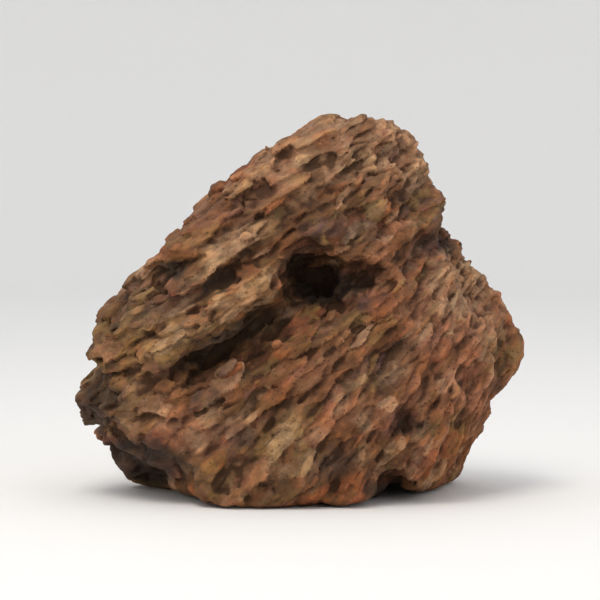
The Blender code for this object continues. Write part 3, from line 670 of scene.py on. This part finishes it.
def add_flakes(skin, rock, wear, rng):
    """Lays thin, blunt flakes along the beds, each standing a little proud of the rock."""
    ball, ball_corners = unit_ball(3)
    points, _ = mesh_arrays(skin.data)
    corners = mesh_corners(skin.data)
    spots, normals = surface_spots(skin.data, wear.flakes, rng)
    axes = spot_axes(spots, normals, FLAKE_TURN, rng)
    count = len(spots)
    sizes = np.array((
        wear.flake_length * rng.uniform(*FLAKE_LENGTHS, count),
        wear.flake_length * rng.uniform(*FLAKE_WIDTHS, count),
        wear.flake_thickness * rng.uniform(*FLAKE_THICKNESSES, count))).T
    proud = wear.flake_thickness * rng.uniform(*FLAKE_PROUD, count)
    proud *= eased(spots[:, 2], 0.0, FOOT_HEIGHT)
    roundness = (np.abs(ball) ** FLAKE_SQUARENESS).sum(axis=1) ** (-1.0 / FLAKE_SQUARENESS)
    blunt = ball * roundness[:, None]
    shifts = rng.uniform(-50.0, 50.0, (count, 3))
    tapers = rng.uniform(*FLAKE_TAPERS, count) * rng.choice((-1.0, 1.0), count)
    bends = rng.uniform(-FLAKE_BEND, FLAKE_BEND, count)
    solids = []
    for i in range(count):
        lumps = rock_noise(blunt * FLAKE_LUMPS + shifts[i], FLAKE_SALT)
        shape = blunt * (1.0 + FLAKE_UNEVEN * (lumps - 0.1))[:, None]
        shape[:, 1:] *= (1.0 - np.abs(tapers[i]) + tapers[i] * shape[:, 0])[:, None]
        shape[:, 2] += bends[i] * shape[:, 0] ** 2
        for _ in range(FLAKE_TRIES):
            reach = (np.abs(axes[i] @ normals[i]) * sizes[i] / 2.0).max()
            middle = spots[i] + normals[i] * (proud[i] - reach)
            ends = [middle + axes[i, side] * sizes[i, side] * way
                    for side in (0, 1) for way in FLAKE_ENDS]
            if max(outside(rock, end) for end in ends) < FLAKE_OVERHANG:
                break
            sizes[i, :2] *= FLAKE_SHRINK
        solids.append((shape * sizes[i] / 2.0) @ axes[i] + middle)
    if corners.shape[1] == 4:
        corners = np.concatenate((corners[:, (0, 1, 2)], corners[:, (0, 2, 3)]))
    steps = len(points) + np.arange(count) * len(ball)
    flake_corners = (ball_corners[None] + steps[:, None, None]).reshape(-1, 3)
    corners = np.concatenate((corners, flake_corners))
    skin.data = new_mesh(np.concatenate([points, *solids]), corners)


def cells(places, salt):
    """Splits space into uneven cells, one for each whole step of the places.

    Gives for each point the number of its cell, where it lies in it, and how far from its border.
    """
    whole = np.floor(places).astype(np.int64)
    nearest = np.full(len(places), np.inf)
    second = np.full(len(places), np.inf)
    number = np.zeros(len(places), np.int64)
    inside = np.zeros_like(places)
    jitter = np.random.default_rng(salt).random((CHIP_KINDS, 3))
    for step in itertools.product((-1, 0, 1), repeat=3):
        cell = whole + np.array(step)
        key = scrambled(cell, salt, CHIP_KINDS)
        away = places - cell - jitter[key]
        apart = (away ** 2).sum(axis=1)
        closer = apart < nearest
        second = np.where(closer, nearest, np.minimum(second, apart))
        nearest = np.where(closer, apart, nearest)
        number = np.where(closer, key, number)
        inside[closer] = away[closer]
    return number, inside, np.sqrt(second) - np.sqrt(nearest)


def chip_cells(points, wear):
    """The small angular chips that the skin breaks into along the beds."""
    sway = noise_shift(points / CHIP_SWAY_SPACING, CHIP_SALT + 50)
    sizes = np.array((wear.chip_length, wear.chip_length * CHIP_WIDTH, wear.chip_thickness))
    return cells(bed_places(points + sway * CHIP_SWAY_MM * MM) / sizes, CHIP_SALT)


def on_patches(points, normals, patches, salt):
    """How strongly the listed patches cover each point of the front."""
    ragged = np.array([layered_noise(points / PATCH_LUMPS, salt + i, 3) for i in range(2)]).T
    sight = points - SEEN_FROM
    seen = sight[:, (0, 2)] * (SEEN_DISTANCE / sight[:, 1])[:, None] - SEEN_ORIGIN
    seen = seen + ragged * PATCH_RAGGED
    covered = np.zeros(len(points))
    for across, up, half_length, half_height, rise, strength in patches:
        turn = math.radians(rise)
        apart = seen - np.array((across, up)) * MM
        along = (apart[:, 0] * math.cos(turn) + apart[:, 1] * math.sin(turn)) / (half_length * MM)
        over = (apart[:, 1] * math.cos(turn) - apart[:, 0] * math.sin(turn)) / (half_height * MM)
        cover = eased(PATCH_EDGE - np.hypot(along, over), 0.0, PATCH_FADE)
        covered = np.maximum(covered, strength * cover)
    return covered * on_front(points, normals)


def on_front(points, normals):
    """Nearly 1 where a point can be seen from the front, and 0 on the rest."""
    return eased(-points[:, 1], -FRONT_DEPTH, 0.0) * eased(-normals[:, 1], *FRONT_TURN)


def roughness(points, normals):
    """How rough the stone is from place to place: about 0.4 where calm, 1.1 where craggy."""
    uneven = patchy(points, CHIP_SALT + 120, *CRAG_PATCHES)
    uneven *= FOOT_CHIPS + (1.0 - FOOT_CHIPS) * eased(points[:, 2], 0.0, FOOT_CHIPS_HEIGHT)
    return uneven * (1.0 - on_patches(points, normals, CALM, CHIP_SALT + 130))


def break_chips(skin, wear):
    """Breaks the skin into chips that overlap like shingles, with cracks between some of them.

    The chips stand out the way that the skin faces as a whole, so that no knob swells.
    """
    points, normals = mesh_arrays(skin.data)
    number, inside, border = chip_cells(points, wear)
    rng = np.random.default_rng(CHIP_SALT + 1)
    offsets = rng.uniform(-0.5, 0.5, CHIP_KINDS)[number]
    tilts = rng.uniform(*CHIP_TILTS, (CHIP_KINDS, 3))[number]
    crack = np.clip(1.0 - border / CRACK_WIDTH, 0.0, 1.0) ** CRACK_EDGE
    cracked = patchy(points, CHIP_SALT + 90, *CRACK_PATCHES)
    height = offsets + (tilts * inside).sum(axis=1) - crack * cracked * CRACK_DEPTH
    height *= wear.chip_depth * roughness(points, normals)
    facing = relaxed(normals, mesh_edges(skin.data), CHIP_FACING_ROUNDS)
    set_points(skin.data, points + facing * height[:, None])


def evened(points, normals, edges, rounds):
    """The skin evened out, how far each point stands out of that, and how alike it faces there."""
    even = relaxed(points, edges, rounds)
    facing = relaxed(normals, edges, rounds)
    agreement = np.linalg.norm(facing, axis=1)
    proud = ((points - even) * facing).sum(axis=1) / np.maximum(agreement, LEAST_AGREEMENT)
    return even, proud, agreement


def even_out(skin, rounds, tips, thin=0.0):
    """Wears away what sticks out further than the tips may, and what is thin enough to snap off.

    Near the ground, where the stone is rubbed most, the tips may stick out less.
    """
    points, normals = mesh_arrays(skin.data)
    tips = tips * (FOOT_TIPS + (1.0 - FOOT_TIPS) * eased(points[:, 2], 0.0, FOOT_HEIGHT))
    even, proud, agreement = evened(points, normals, mesh_edges(skin.data), rounds)
    share = np.clip((proud - tips) / np.maximum(proud, tips), 0.0, 1.0)
    share = np.maximum(share, eased(thin - agreement, 0.0, SNAP_RANGE) * (proud > 0.0))
    set_points(skin.data, points + (even - points) * share[:, None])


def fill_pits(skin, rounds, depth, share):
    """Partly fills holes deeper than this, but leaves the hollows under silt and painted shade."""
    points, normals = mesh_arrays(skin.data)
    even, proud, _ = evened(points, normals, mesh_edges(skin.data), rounds)
    silt_and_shade_cover = on_patches(points, normals, STAINS_AND_PAINTED_SHADING["silt_and_painted_shade"], CHIP_SALT + 140)
    kept = np.clip(silt_and_shade_cover * SILT_AND_SHADE_KEEPS, 0.0, 1.0)
    filled = share * (1.0 - kept) * eased(-proud, depth, depth * 2.0)
    set_points(skin.data, points + (even - points) * filled[:, None])


def bed_waves(points, spacing, lengths, salt):
    """Waves across the beds. Their lengths along and into the beds are given in spacings."""
    across = spacing / MM
    return np.abs(bedded_noise(points, (across * lengths[0], across * lengths[1], across), salt))


def wear_scallops(skin, spacing, depth, salt):
    """Wears long shallow hollows along the beds, which meet in sharp crests."""
    points, normals = mesh_arrays(skin.data)
    wave = bed_waves(points, spacing, SCALLOP_LENGTHS, salt)
    crest = 1.0 - np.minimum(wave / SCALLOP_REACH, 1.0) ** SCALLOP_SIDES
    uneven = patchy(points, salt + 90, *SCALLOP_PATCHES)
    height = (crest - SCALLOP_LEVEL) * depth * uneven
    set_points(skin.data, points + normals * height[:, None])


def cut_slots(skin, spacing, depth, salt):
    """Cuts narrow slots where a soft bed has washed out between two hard ones."""
    points, normals = mesh_arrays(skin.data)
    wave = bed_waves(points, spacing, SLOT_LENGTHS, salt)
    slot = np.clip(1.0 - wave / SLOT_REACH, 0.0, 1.0) ** SLOT_SIDES
    uneven = patchy(points, salt + 90, *SLOT_PATCHES)
    set_points(skin.data, points - normals * (slot * depth * uneven)[:, None])


def press_pits(skin, wear, rng):
    """Presses in the holes that soft clay has washed out of, drawn out along the beds."""
    points, normals = mesh_arrays(skin.data)
    spots, facing = surface_spots(skin.data, wear.pits, rng)
    axes = spot_axes(spots, facing, PIT_TURN, rng)
    half = wear.pit_length * rng.uniform(*PIT_SIZES, len(spots)) ** 2 * PIT_LARGEST
    flat = rng.uniform(*PIT_FLATNESS, len(spots))
    deep = half * rng.uniform(*PIT_DEPTHS, len(spots))
    order = np.argsort(points[:, 0])
    across = points[order, 0]
    pushes = np.zeros(len(points))
    ways = np.zeros_like(points)
    for i, spot in enumerate(spots):
        first, last = np.searchsorted(across, (spot[0] - half[i], spot[0] + half[i]))
        near = order[first:last]
        near = near[(np.abs(points[near] - spot) < half[i]).all(axis=1)]
        reach = np.array((half[i], half[i], half[i] * flat[i]))
        apart = (((points[near] - spot) @ axes[i].T / reach) ** 2).sum(axis=1)
        inside = np.clip(1.0 - apart, 0.0, 1.0) ** PIT_SIDES
        push = inside * np.clip(normals[near] @ facing[i] + PIT_ROUND_EDGE, 0.0, 1.0) * deep[i]
        deeper = push > pushes[near]
        pushes[near[deeper]] = push[deeper]
        ways[near[deeper]] = -facing[i]
    set_points(skin.data, points + ways * pushes[:, None])


def raise_grit(skin, wear, salt):
    """Roughens the skin, as coarse silt does."""
    points, normals = mesh_arrays(skin.data)
    grit = layered_noise(points / GRIT_SPACING, salt, 2)
    lumps = layered_noise(points / LUMP_SPACING, salt + 9, 2)
    height = grit * wear.grit * GRIT_HEIGHT + lumps * wear.grit * GRIT_HEIGHT
    set_points(skin.data, points + normals * height[:, None])


def thin_out(skin, triangles):
    """Leaves as many triangles as the skin may have, most of them where it bends."""
    corners = mesh_corners(skin.data)
    there = len(corners) * (corners.shape[1] - 2)
    thin = skin.modifiers.new("thin out", "DECIMATE")
    thin.ratio = min(1.0, triangles / there)
    thin.use_collapse_triangulate = True
    apply_modifiers(skin)


def keep_in_box(skin, box, softness):
    """Eases what would stand out of the box back into it, and sets the feet flat on the ground."""
    points, _ = mesh_arrays(skin.data)
    low, high = np.array(box[0]), np.array(box[1])
    for axis in range(3):
        over = np.maximum(points[:, axis] - (high[axis] - softness), 0.0)
        points[:, axis] -= over - softness * (1.0 - np.exp(-over / softness))
        if axis < 2:
            under = np.maximum(low[axis] + softness - points[:, axis], 0.0)
            points[:, axis] += under - softness * (1.0 - np.exp(-under / softness))
    points[:, 2] = np.maximum(points[:, 2], low[2])
    set_points(skin.data, points)


def add_measure(mesh, name, values):
    """Keeps a number for each point, for the material to read."""
    attribute = mesh.attributes.new(name, "FLOAT", "POINT")
    attribute.data.foreach_set("value", values.astype(np.float32))


def eased(values, low, high):
    """From 0 at low to 1 at high, smoothly."""
    part = np.clip((values - low) / (high - low), 0.0, 1.0)
    return part * part * (3.0 - 2.0 * part)


def measure_relief(skin):
    """Marks how far each point lies in a crevice and how far on a ridge."""
    points, normals = mesh_arrays(skin.data)
    edges = mesh_edges(skin.data)
    hollow, ridge = np.zeros(len(points)), np.zeros(len(points))
    for rounds, for_hollow, for_ridge in RELIEF:
        proud = ((points - relaxed(points, edges, rounds)) * normals).sum(axis=1)
        hollow -= proud * for_hollow
        ridge += proud * for_ridge
    add_measure(skin.data, "crevice", eased(relaxed(hollow, edges, 1), *CREVICES))
    add_measure(skin.data, "ridge", eased(relaxed(ridge, edges, 1), *RIDGES))


def stain_strength(points, normals, name, salt):
    """How strongly each point is stained: by the listed patches on the front, strewn over the rest.
    """
    placed = on_patches(points, normals, STAINS_AND_PAINTED_SHADING[name], salt + 20)
    strewn = bedded_noise(points, STAIN_LENGTHS_MM, salt, layers=3)
    spread = eased(rock_noise(points / STAIN_CLUSTERS, salt + 60), *STAIN_CLUSTERED)
    strewn = eased(strewn, *STAIN_STREWN) * (STAIN_STRAY + (1.0 - STAIN_STRAY) * spread)
    shown = 1.0 - STAIN_FRONT_LOSS * on_front(points, normals)
    return np.maximum(placed, strewn * shown)


def measure_colour(skin, wear):
    """Marks stains, painted shade and light, and how the tone changes between beds and chips."""
    points, normals = mesh_arrays(skin.data)
    number, _, _ = chip_cells(points, wear)
    chips = np.random.default_rng(CHIP_SALT + 2).random((CHIP_KINDS, len(STAINS_AND_PAINTED_SHADING) + 1))[number]
    for i, name in enumerate(STAINS_AND_PAINTED_SHADING):
        strength = stain_strength(points, normals, name, STAIN_SALT + 31 * i)
        if name != "silt_and_painted_shade":
            # Each chip takes the stain to its own degree, and one in eight has it wherever it is.
            alone = 0.5 * (chips[:, i] > 0.88)
            strength = np.maximum(strength * (0.35 + 0.5 * chips[:, i]), alone)
        add_measure(skin.data, name, strength)
    # The tone changes in equal parts from bed to bed and chip to chip, and a little less broadly.
    beds_tone = eased(bedded_noise(points, TONE_LENGTHS_MM, TONE_SALT, layers=2), -0.45, 0.45)
    broad_tone = eased(rock_noise(points / TONE_SPACING, TONE_SALT + 40), -0.4, 0.4)
    tone = 0.35 * beds_tone + 0.35 * chips[:, -1] + 0.3 * broad_tone
    add_measure(skin.data, "tone", tone)
    add_measure(skin.data, "upward", eased(normals[:, 2], -0.3, 0.9))
    beds = skin.data.attributes.new("beds", "FLOAT_VECTOR", "POINT")
    beds.data.foreach_set("vector", bed_places(points).astype(np.float32).reshape(-1))


def add_node(tree, kind, settings=None, inputs=None):
    """Adds a node, sets it up and links its inputs, which are found by their identifiers."""
    node = tree.nodes.new(kind)
    for name, value in (settings or {}).items():
        setattr(node, name, value)
    for name, value in (inputs or {}).items():
        socket = next(s for s in node.inputs if s.identifier == name)
        if isinstance(value, bpy.types.NodeSocket):
            tree.links.new(value, socket)
        else:
            socket.default_value = value
    return node


def blended(tree, factor, below, above, mode="MIX"):
    """One colour laid over another."""
    def colour(value):
        return value if isinstance(value, bpy.types.NodeSocket) else (*value, 1.0)
    mix = add_node(tree, "ShaderNodeMix", {"data_type": "RGBA", "blend_type": mode}, {
        "Factor_Float": factor, "A_Color": colour(below), "B_Color": colour(above)})
    return next(s for s in mix.outputs if s.identifier == "Result_Color")


def ranged(tree, value, low, high, start=0.0, end=1.0):
    """A value taken smoothly from one range to another."""
    return add_node(tree, "ShaderNodeMapRange", {"interpolation_type": "SMOOTHSTEP"}, {
        "Value": value, "From Min": low, "From Max": high, "To Min": start,
        "To Max": end}).outputs[0]


def product(tree, first, second):
    """Two values multiplied."""
    return add_node(tree, "ShaderNodeMath", {"operation": "MULTIPLY"}, {
        "Value": first, "Value_001": second}).outputs[0]


def pattern(tree, place, spacings_mm, detail, roughness=0.6, other=0.0):
    """Noise whose lumps are this many millimetres apart along each axis."""
    steps = add_node(tree, "ShaderNodeVectorMath", {"operation": "DIVIDE"}, {
        "Vector": place, "Vector_001": [spacing * MM for spacing in spacings_mm]})
    return add_node(tree, "ShaderNodeTexNoise", {"noise_dimensions": "4D"}, {
        "Vector": steps.outputs[0], "W": other, "Scale": 1.0, "Detail": detail,
        "Roughness": roughness}).outputs["Fac"]


def grey(tree, value):
    """A grey of this value."""
    return add_node(tree, "ShaderNodeCombineColor", None, {
        "Red": value, "Green": value, "Blue": value}).outputs[0]


def measured(tree, name):
    """A number that the skin keeps for each point."""
    return add_node(tree, "ShaderNodeAttribute", {"attribute_name": name}).outputs["Fac"]


def weathered_clay_ironstone(colours):
    """Clay ironstone, weathered in wet ground.

    It is clay and silt bound by iron, washed out bed by bed. The eye sees a dry, matt brown that
    turns rust, ochre, salmon, olive and plum from patch to patch, with pale rubbed edges that also
    carry a painted highlight, pale clay and dust on top that are also painted light from above,
    dark dirt and painted shade in the pits, and a dark film of silt and painted shade in the
    hollows.
    """
    material = bpy.data.materials.new("weathered_clay_ironstone")
    material.use_nodes = True
    tree = material.node_tree
    shader = tree.nodes["Principled BSDF"]
    place = add_node(tree, "ShaderNodeTexCoord").outputs["Object"]
    beds = add_node(tree, "ShaderNodeAttribute", {"attribute_name": "beds"}).outputs["Vector"]
    # A bed weathers out in streaks about 9 mm long and 3 mm thick, with blotches of about 4 mm.
    streaks = pattern(tree, beds, (9.0, 7.0, 2.8), 3.0)
    blotches = pattern(tree, place, (4.0, 4.0, 4.0), 4.0)
    # The clay's own laminae are about 0.2 mm, too fine to show, so they are drawn at 1.2 mm.
    laminae = pattern(tree, beds, (5.0, 4.0, 1.2), 2.0)
    # Silt grains are about 0.05 mm, too fine to show, so they are drawn at 0.6 mm.
    grains = pattern(tree, place, (0.6, 0.6, 0.6), 2.0, 0.7)
    # Roots and gas leave pores about 2 mm apart.
    pores = add_node(tree, "ShaderNodeTexVoronoi", {"feature": "F1"}, {
        "Vector": place, "Scale": 1.0 / (2.2 * MM), "Randomness": 1.0}).outputs["Distance"]
    crevice, ridge = measured(tree, "crevice"), measured(tree, "ridge")
    colour = blended(tree, measured(tree, "tone"), colours.umber, colours.clay)
    # Each stain breaks up into mottles of about 6 by 4 mm along the beds, others for each stain.
    for i, name in enumerate(("olive", "plum", "ochre", "rust", "salmon", "pale")):
        mottles = pattern(tree, beds, (6.0, 5.0, 3.8), 4.0, other=10.0 + i)
        ragged = product(tree, measured(tree, name), ranged(tree, mottles, 0.36, 0.6, 0.25, 1.0))
        colour = blended(tree, ragged, colour, getattr(colours, name))
    shade = ranged(tree, laminae, 0.35, 0.65, 0.84, 1.12)
    colour = blended(tree, 1.0, colour, grey(tree, shade), "MULTIPLY")
    # Ridges are lightened: rubbed clay and a painted highlight.
    lit = blended(tree, 1.0, colour, RUBBED_AND_HIGHLIT, "MULTIPLY")
    rubbed_and_highlit = product(tree, ridge, ranged(tree, streaks, 0.35, 0.6, 0.15, 0.9))
    colour = blended(tree, rubbed_and_highlit, colour, lit)
    # Upward faces take pale dust, which also paints them lighter as if lit from above.
    dust_and_top_light_cover = product(tree, measured(tree, "upward"), ranged(tree, blotches, 0.45, 0.7, 0.0, 0.12))
    colour = blended(tree, dust_and_top_light_cover, colour, colours.dust_and_top_light)
    # Pore middles take the crevice colour: their dirt and painted shade.
    colour = blended(tree, ranged(tree, pores, 0.22, 0.12, 0.0, 0.55), colour, colours.crevice)
    # A dark film where shade falls, in hollows, undercuts and under ledges: silt and painted shade.
    shade_and_silt_film = ranged(tree, measured(tree, "silt_and_painted_shade"), 0.0, 1.0, 0.0, 0.85)
    colour = blended(tree, shade_and_silt_film, colour, colours.silt_and_painted_shade)
    # Crevices are dimmed and then darkened to the crevice colour: dirt and painted shade.
    dim = blended(tree, 1.0, colour, DIRTY_AND_SHADED, "MULTIPLY")
    colour = blended(tree, ranged(tree, crevice, 0.0, 0.75), colour, dim)
    colour = blended(tree, ranged(tree, crevice, 0.55, 1.0, 0.0, 0.65), colour, colours.crevice)
    speckle = grey(tree, ranged(tree, grains, 0.3, 0.7, 0.88, 1.12))
    colour = blended(tree, 1.0, colour, speckle, "MULTIPLY")
    tree.links.new(colour, shader.inputs["Base Color"])
    tree.links.new(ranged(tree, blotches, 0.3, 0.7, 0.78, 0.95), shader.inputs["Roughness"])
    shader.inputs["Metallic"].default_value = 0.0
    shader.inputs["IOR"].default_value = 1.5
    shader.inputs["Specular IOR Level"].default_value = 0.35
    bumps = (
        (laminae, 0.3, 0.5),
        (blotches, 0.8, 0.6),
        (ranged(tree, pores, 0.1, 0.3), 0.45, 0.6),
        (grains, 0.14, 0.7),
    )
    normal = None
    for height, distance_mm, strength in bumps:
        inputs = {"Height": height, "Distance": distance_mm * MM, "Strength": strength}
        if normal:
            inputs["Normal"] = normal
        normal = add_node(tree, "ShaderNodeBump", None, inputs).outputs[0]
    tree.links.new(normal, shader.inputs["Normal"])
    return material


class DRAGONSTONE_OT_weather_rock(bpy.types.Operator):
    """Weathers the faceted rock into dragon stone"""

    bl_idname = "dragonstone.weather_rock"
    bl_label = "Weather Rock"

    def execute(self, context):
        wear = context.scene.dragon_stone_wear
        rng = np.random.default_rng(wear.seed)
        skin = bpy.data.objects.new("dragon_stone_skin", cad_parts["dragon_stone"].data.copy())
        context.scene.collection.objects.link(skin)
        fuse(skin, ROCK_VOXEL)
        points, _ = mesh_arrays(skin.data)
        set_points(skin.data, relaxed(points, mesh_edges(skin.data), 4))
        even_out(skin, *ROCK_WEAR)
        fill_pits(skin, *PIT_FILLING)
        draw_in(skin, FLAKE_ROOM)
        rock = surface_tree(skin.data)
        add_flakes(skin, rock, wear, rng)
        fuse(skin, FLAKE_VOXEL)
        wear_scallops(skin, wear.scallop_spacing, wear.scallop_depth, SCALLOP_SALT)
        press_pits(skin, wear, rng)
        for wearing in (FLAKE_WEAR, FLAKE_WEAR, FLAKE_EDGE_WEAR):
            even_out(skin, *wearing)
        snap_off(skin, rock, FLAKE_SNAP)
        fuse(skin, CHIP_VOXEL)
        break_chips(skin, wear)
        cut_slots(skin, wear.scallop_spacing * SLOT_SPACING, SLOT_DEPTH, SLOT_SALT)
        for wearing in (CHIP_EDGE_WEAR, CHIP_WEAR, SLIVER_WEAR, SLIVER_WEAR):
            even_out(skin, *wearing)
        raise_grit(skin, wear, GRIT_SALT)
        thin_out(skin, wear.triangles)
        even_out(skin, *LAST_WEAR)
        keep_in_box(skin, CAD_BOX, BOX_SOFTNESS)
        measure_relief(skin)
        measure_colour(skin, wear)
        skin.data.materials.clear()
        skin.data.materials.append(weathered_clay_ironstone(context.scene.dragon_stone_colours))
        skin.data.shade_smooth()
        skin.data.set_sharp_from_angle(angle=SHARP_ANGLE)
        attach(skin, "root")
        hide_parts("dragon_stone")
        return {"FINISHED"}


def sweep_floor(radius, rise_radius, wall_height):
    """A round floor whose edge turns up into a wall, so that no line shows behind the stone."""
    profile = [(0.0, 0.0), (radius, 0.0)]
    for step in range(1, FLOOR_STEPS + 1):
        turn = math.radians(90.0) * step / FLOOR_STEPS
        away, up = rise_radius * math.sin(turn), rise_radius * (1.0 - math.cos(turn))
        profile.append((radius + away, up))
    profile.append((radius + rise_radius, wall_height))
    mesh = bmesh.new()
    start = [mesh.verts.new((r, 0.0, z)) for r, z in profile]
    edges = [mesh.edges.new(pair) for pair in zip(start, start[1:])]
    bmesh.ops.spin(mesh, geom=start + edges, axis=(0, 0, 1), cent=(0, 0, 0), steps=FLOOR_SIDES,
                   angle=math.radians(360.0), use_merge=True)
    bmesh.ops.remove_doubles(mesh, verts=mesh.verts, dist=0.1 * MM)
    bmesh.ops.recalc_face_normals(mesh, faces=mesh.faces)
    data = bpy.data.meshes.new("studio_floor")
    mesh.to_mesh(data)
    mesh.free()
    data.shade_smooth()
    floor = bpy.data.objects.new("studio_floor", data)
    bpy.context.scene.collection.objects.link(floor)
    return floor


def matt_paper(colour):
    """Matt paper, as on a studio roll: even, pale and without shine."""
    material = bpy.data.materials.new("matt_paper")
    material.use_nodes = True
    shader = material.node_tree.nodes["Principled BSDF"]
    shader.inputs["Base Color"].default_value = (*colour, 1.0)
    shader.inputs["Roughness"].default_value = 0.9
    shader.inputs["Specular IOR Level"].default_value = 0.2
    return material


def add_lamp(name, place, target, size, power, colour):
    """A square soft light that points at the stone."""
    lamp = bpy.data.lights.new(name, "AREA")
    lamp.shape = "SQUARE"
    lamp.size = size
    lamp.energy = power
    lamp.color = linear(colour)
    holder = bpy.data.objects.new(name, lamp)
    holder.location = place
    holder.rotation_euler = (Vector(target) - Vector(place)).to_track_quat("-Z", "Y").to_euler()
    bpy.context.scene.collection.objects.link(holder)


class DRAGONSTONE_OT_set_studio(bpy.types.Operator):
    """Sets the plain floor, the soft lights and the camera"""

    bl_idname = "dragonstone.set_studio"
    bl_label = "Set Studio"

    def execute(self, context):
        studio = context.scene.dragon_stone_studio
        floor = sweep_floor(FLOOR_RADIUS, FLOOR_RISE, WALL_HEIGHT)
        floor.data.materials.append(matt_paper(studio.floor))
        middle = (Vector(CAD_BOX[0]) + Vector(CAD_BOX[1])) / 2.0
        add_lamp("key_light", KEY_PLACE, middle, KEY_SIZE, studio.key_power, KEY_COLOUR)
        add_lamp("fill_light", FILL_PLACE, middle, FILL_SIZE, studio.fill_power, FILL_COLOUR)
        world = bpy.data.worlds.new("studio_room")
        world.use_nodes = True
        background = world.node_tree.nodes["Background"]
        background.inputs["Color"].default_value = (*linear(ROOM_COLOUR), 1.0)
        background.inputs["Strength"].default_value = studio.room_light
        context.scene.world = world
        camera = bpy.data.objects.new("camera", bpy.data.cameras.new("camera"))
        camera.location = studio.camera_place
        camera.rotation_euler = (middle - camera.location).to_track_quat("-Z", "Y").to_euler()
        camera.data.sensor_width = 36.0
        camera.data.lens = studio.lens
        camera.data.clip_start = 0.01
        context.scene.collection.objects.link(camera)
        context.scene.camera = camera
        context.scene.view_settings.view_transform = "Standard"
        return {"FINISHED"}


class DRAGONSTONE_PT_panel(bpy.types.Panel):
    """Lists the stone's sizes and colours, and the steps that make it"""

    bl_idname = "DRAGONSTONE_PT_panel"
    bl_label = "Dragon Stone"
    bl_space_type = "VIEW_3D"
    bl_region_type = "UI"
    bl_category = "Dragon Stone"

    def draw(self, context):
        scene = context.scene
        for group in (getattr(scene, name) for name in GROUPS):
            box = self.layout.box()
            for name in type(group).__annotations__:
                box.prop(group, name)
        self.layout.operator(DRAGONSTONE_OT_weather_rock.bl_idname)
        self.layout.operator(DRAGONSTONE_OT_set_studio.bl_idname)


GROUPS = {
    "dragon_stone_wear": RockWear,
    "dragon_stone_colours": RockColours,
    "dragon_stone_studio": StudioSetup,
}
CLASSES = (
    *GROUPS.values(),
    DRAGONSTONE_OT_weather_rock,
    DRAGONSTONE_OT_set_studio,
    DRAGONSTONE_PT_panel,
)


def register():
    for cls in CLASSES:
        bpy.utils.register_class(cls)
    for name, group in GROUPS.items():
        setattr(bpy.types.Scene, name, bpy.props.PointerProperty(type=group))


def unregister():
    for name in GROUPS:
        delattr(bpy.types.Scene, name)
    for cls in reversed(CLASSES):
        bpy.utils.unregister_class(cls)


def main():
    register()
    bpy.ops.dragonstone.weather_rock()
    bpy.ops.dragonstone.set_studio()


if __name__ == "__main__":
    main()
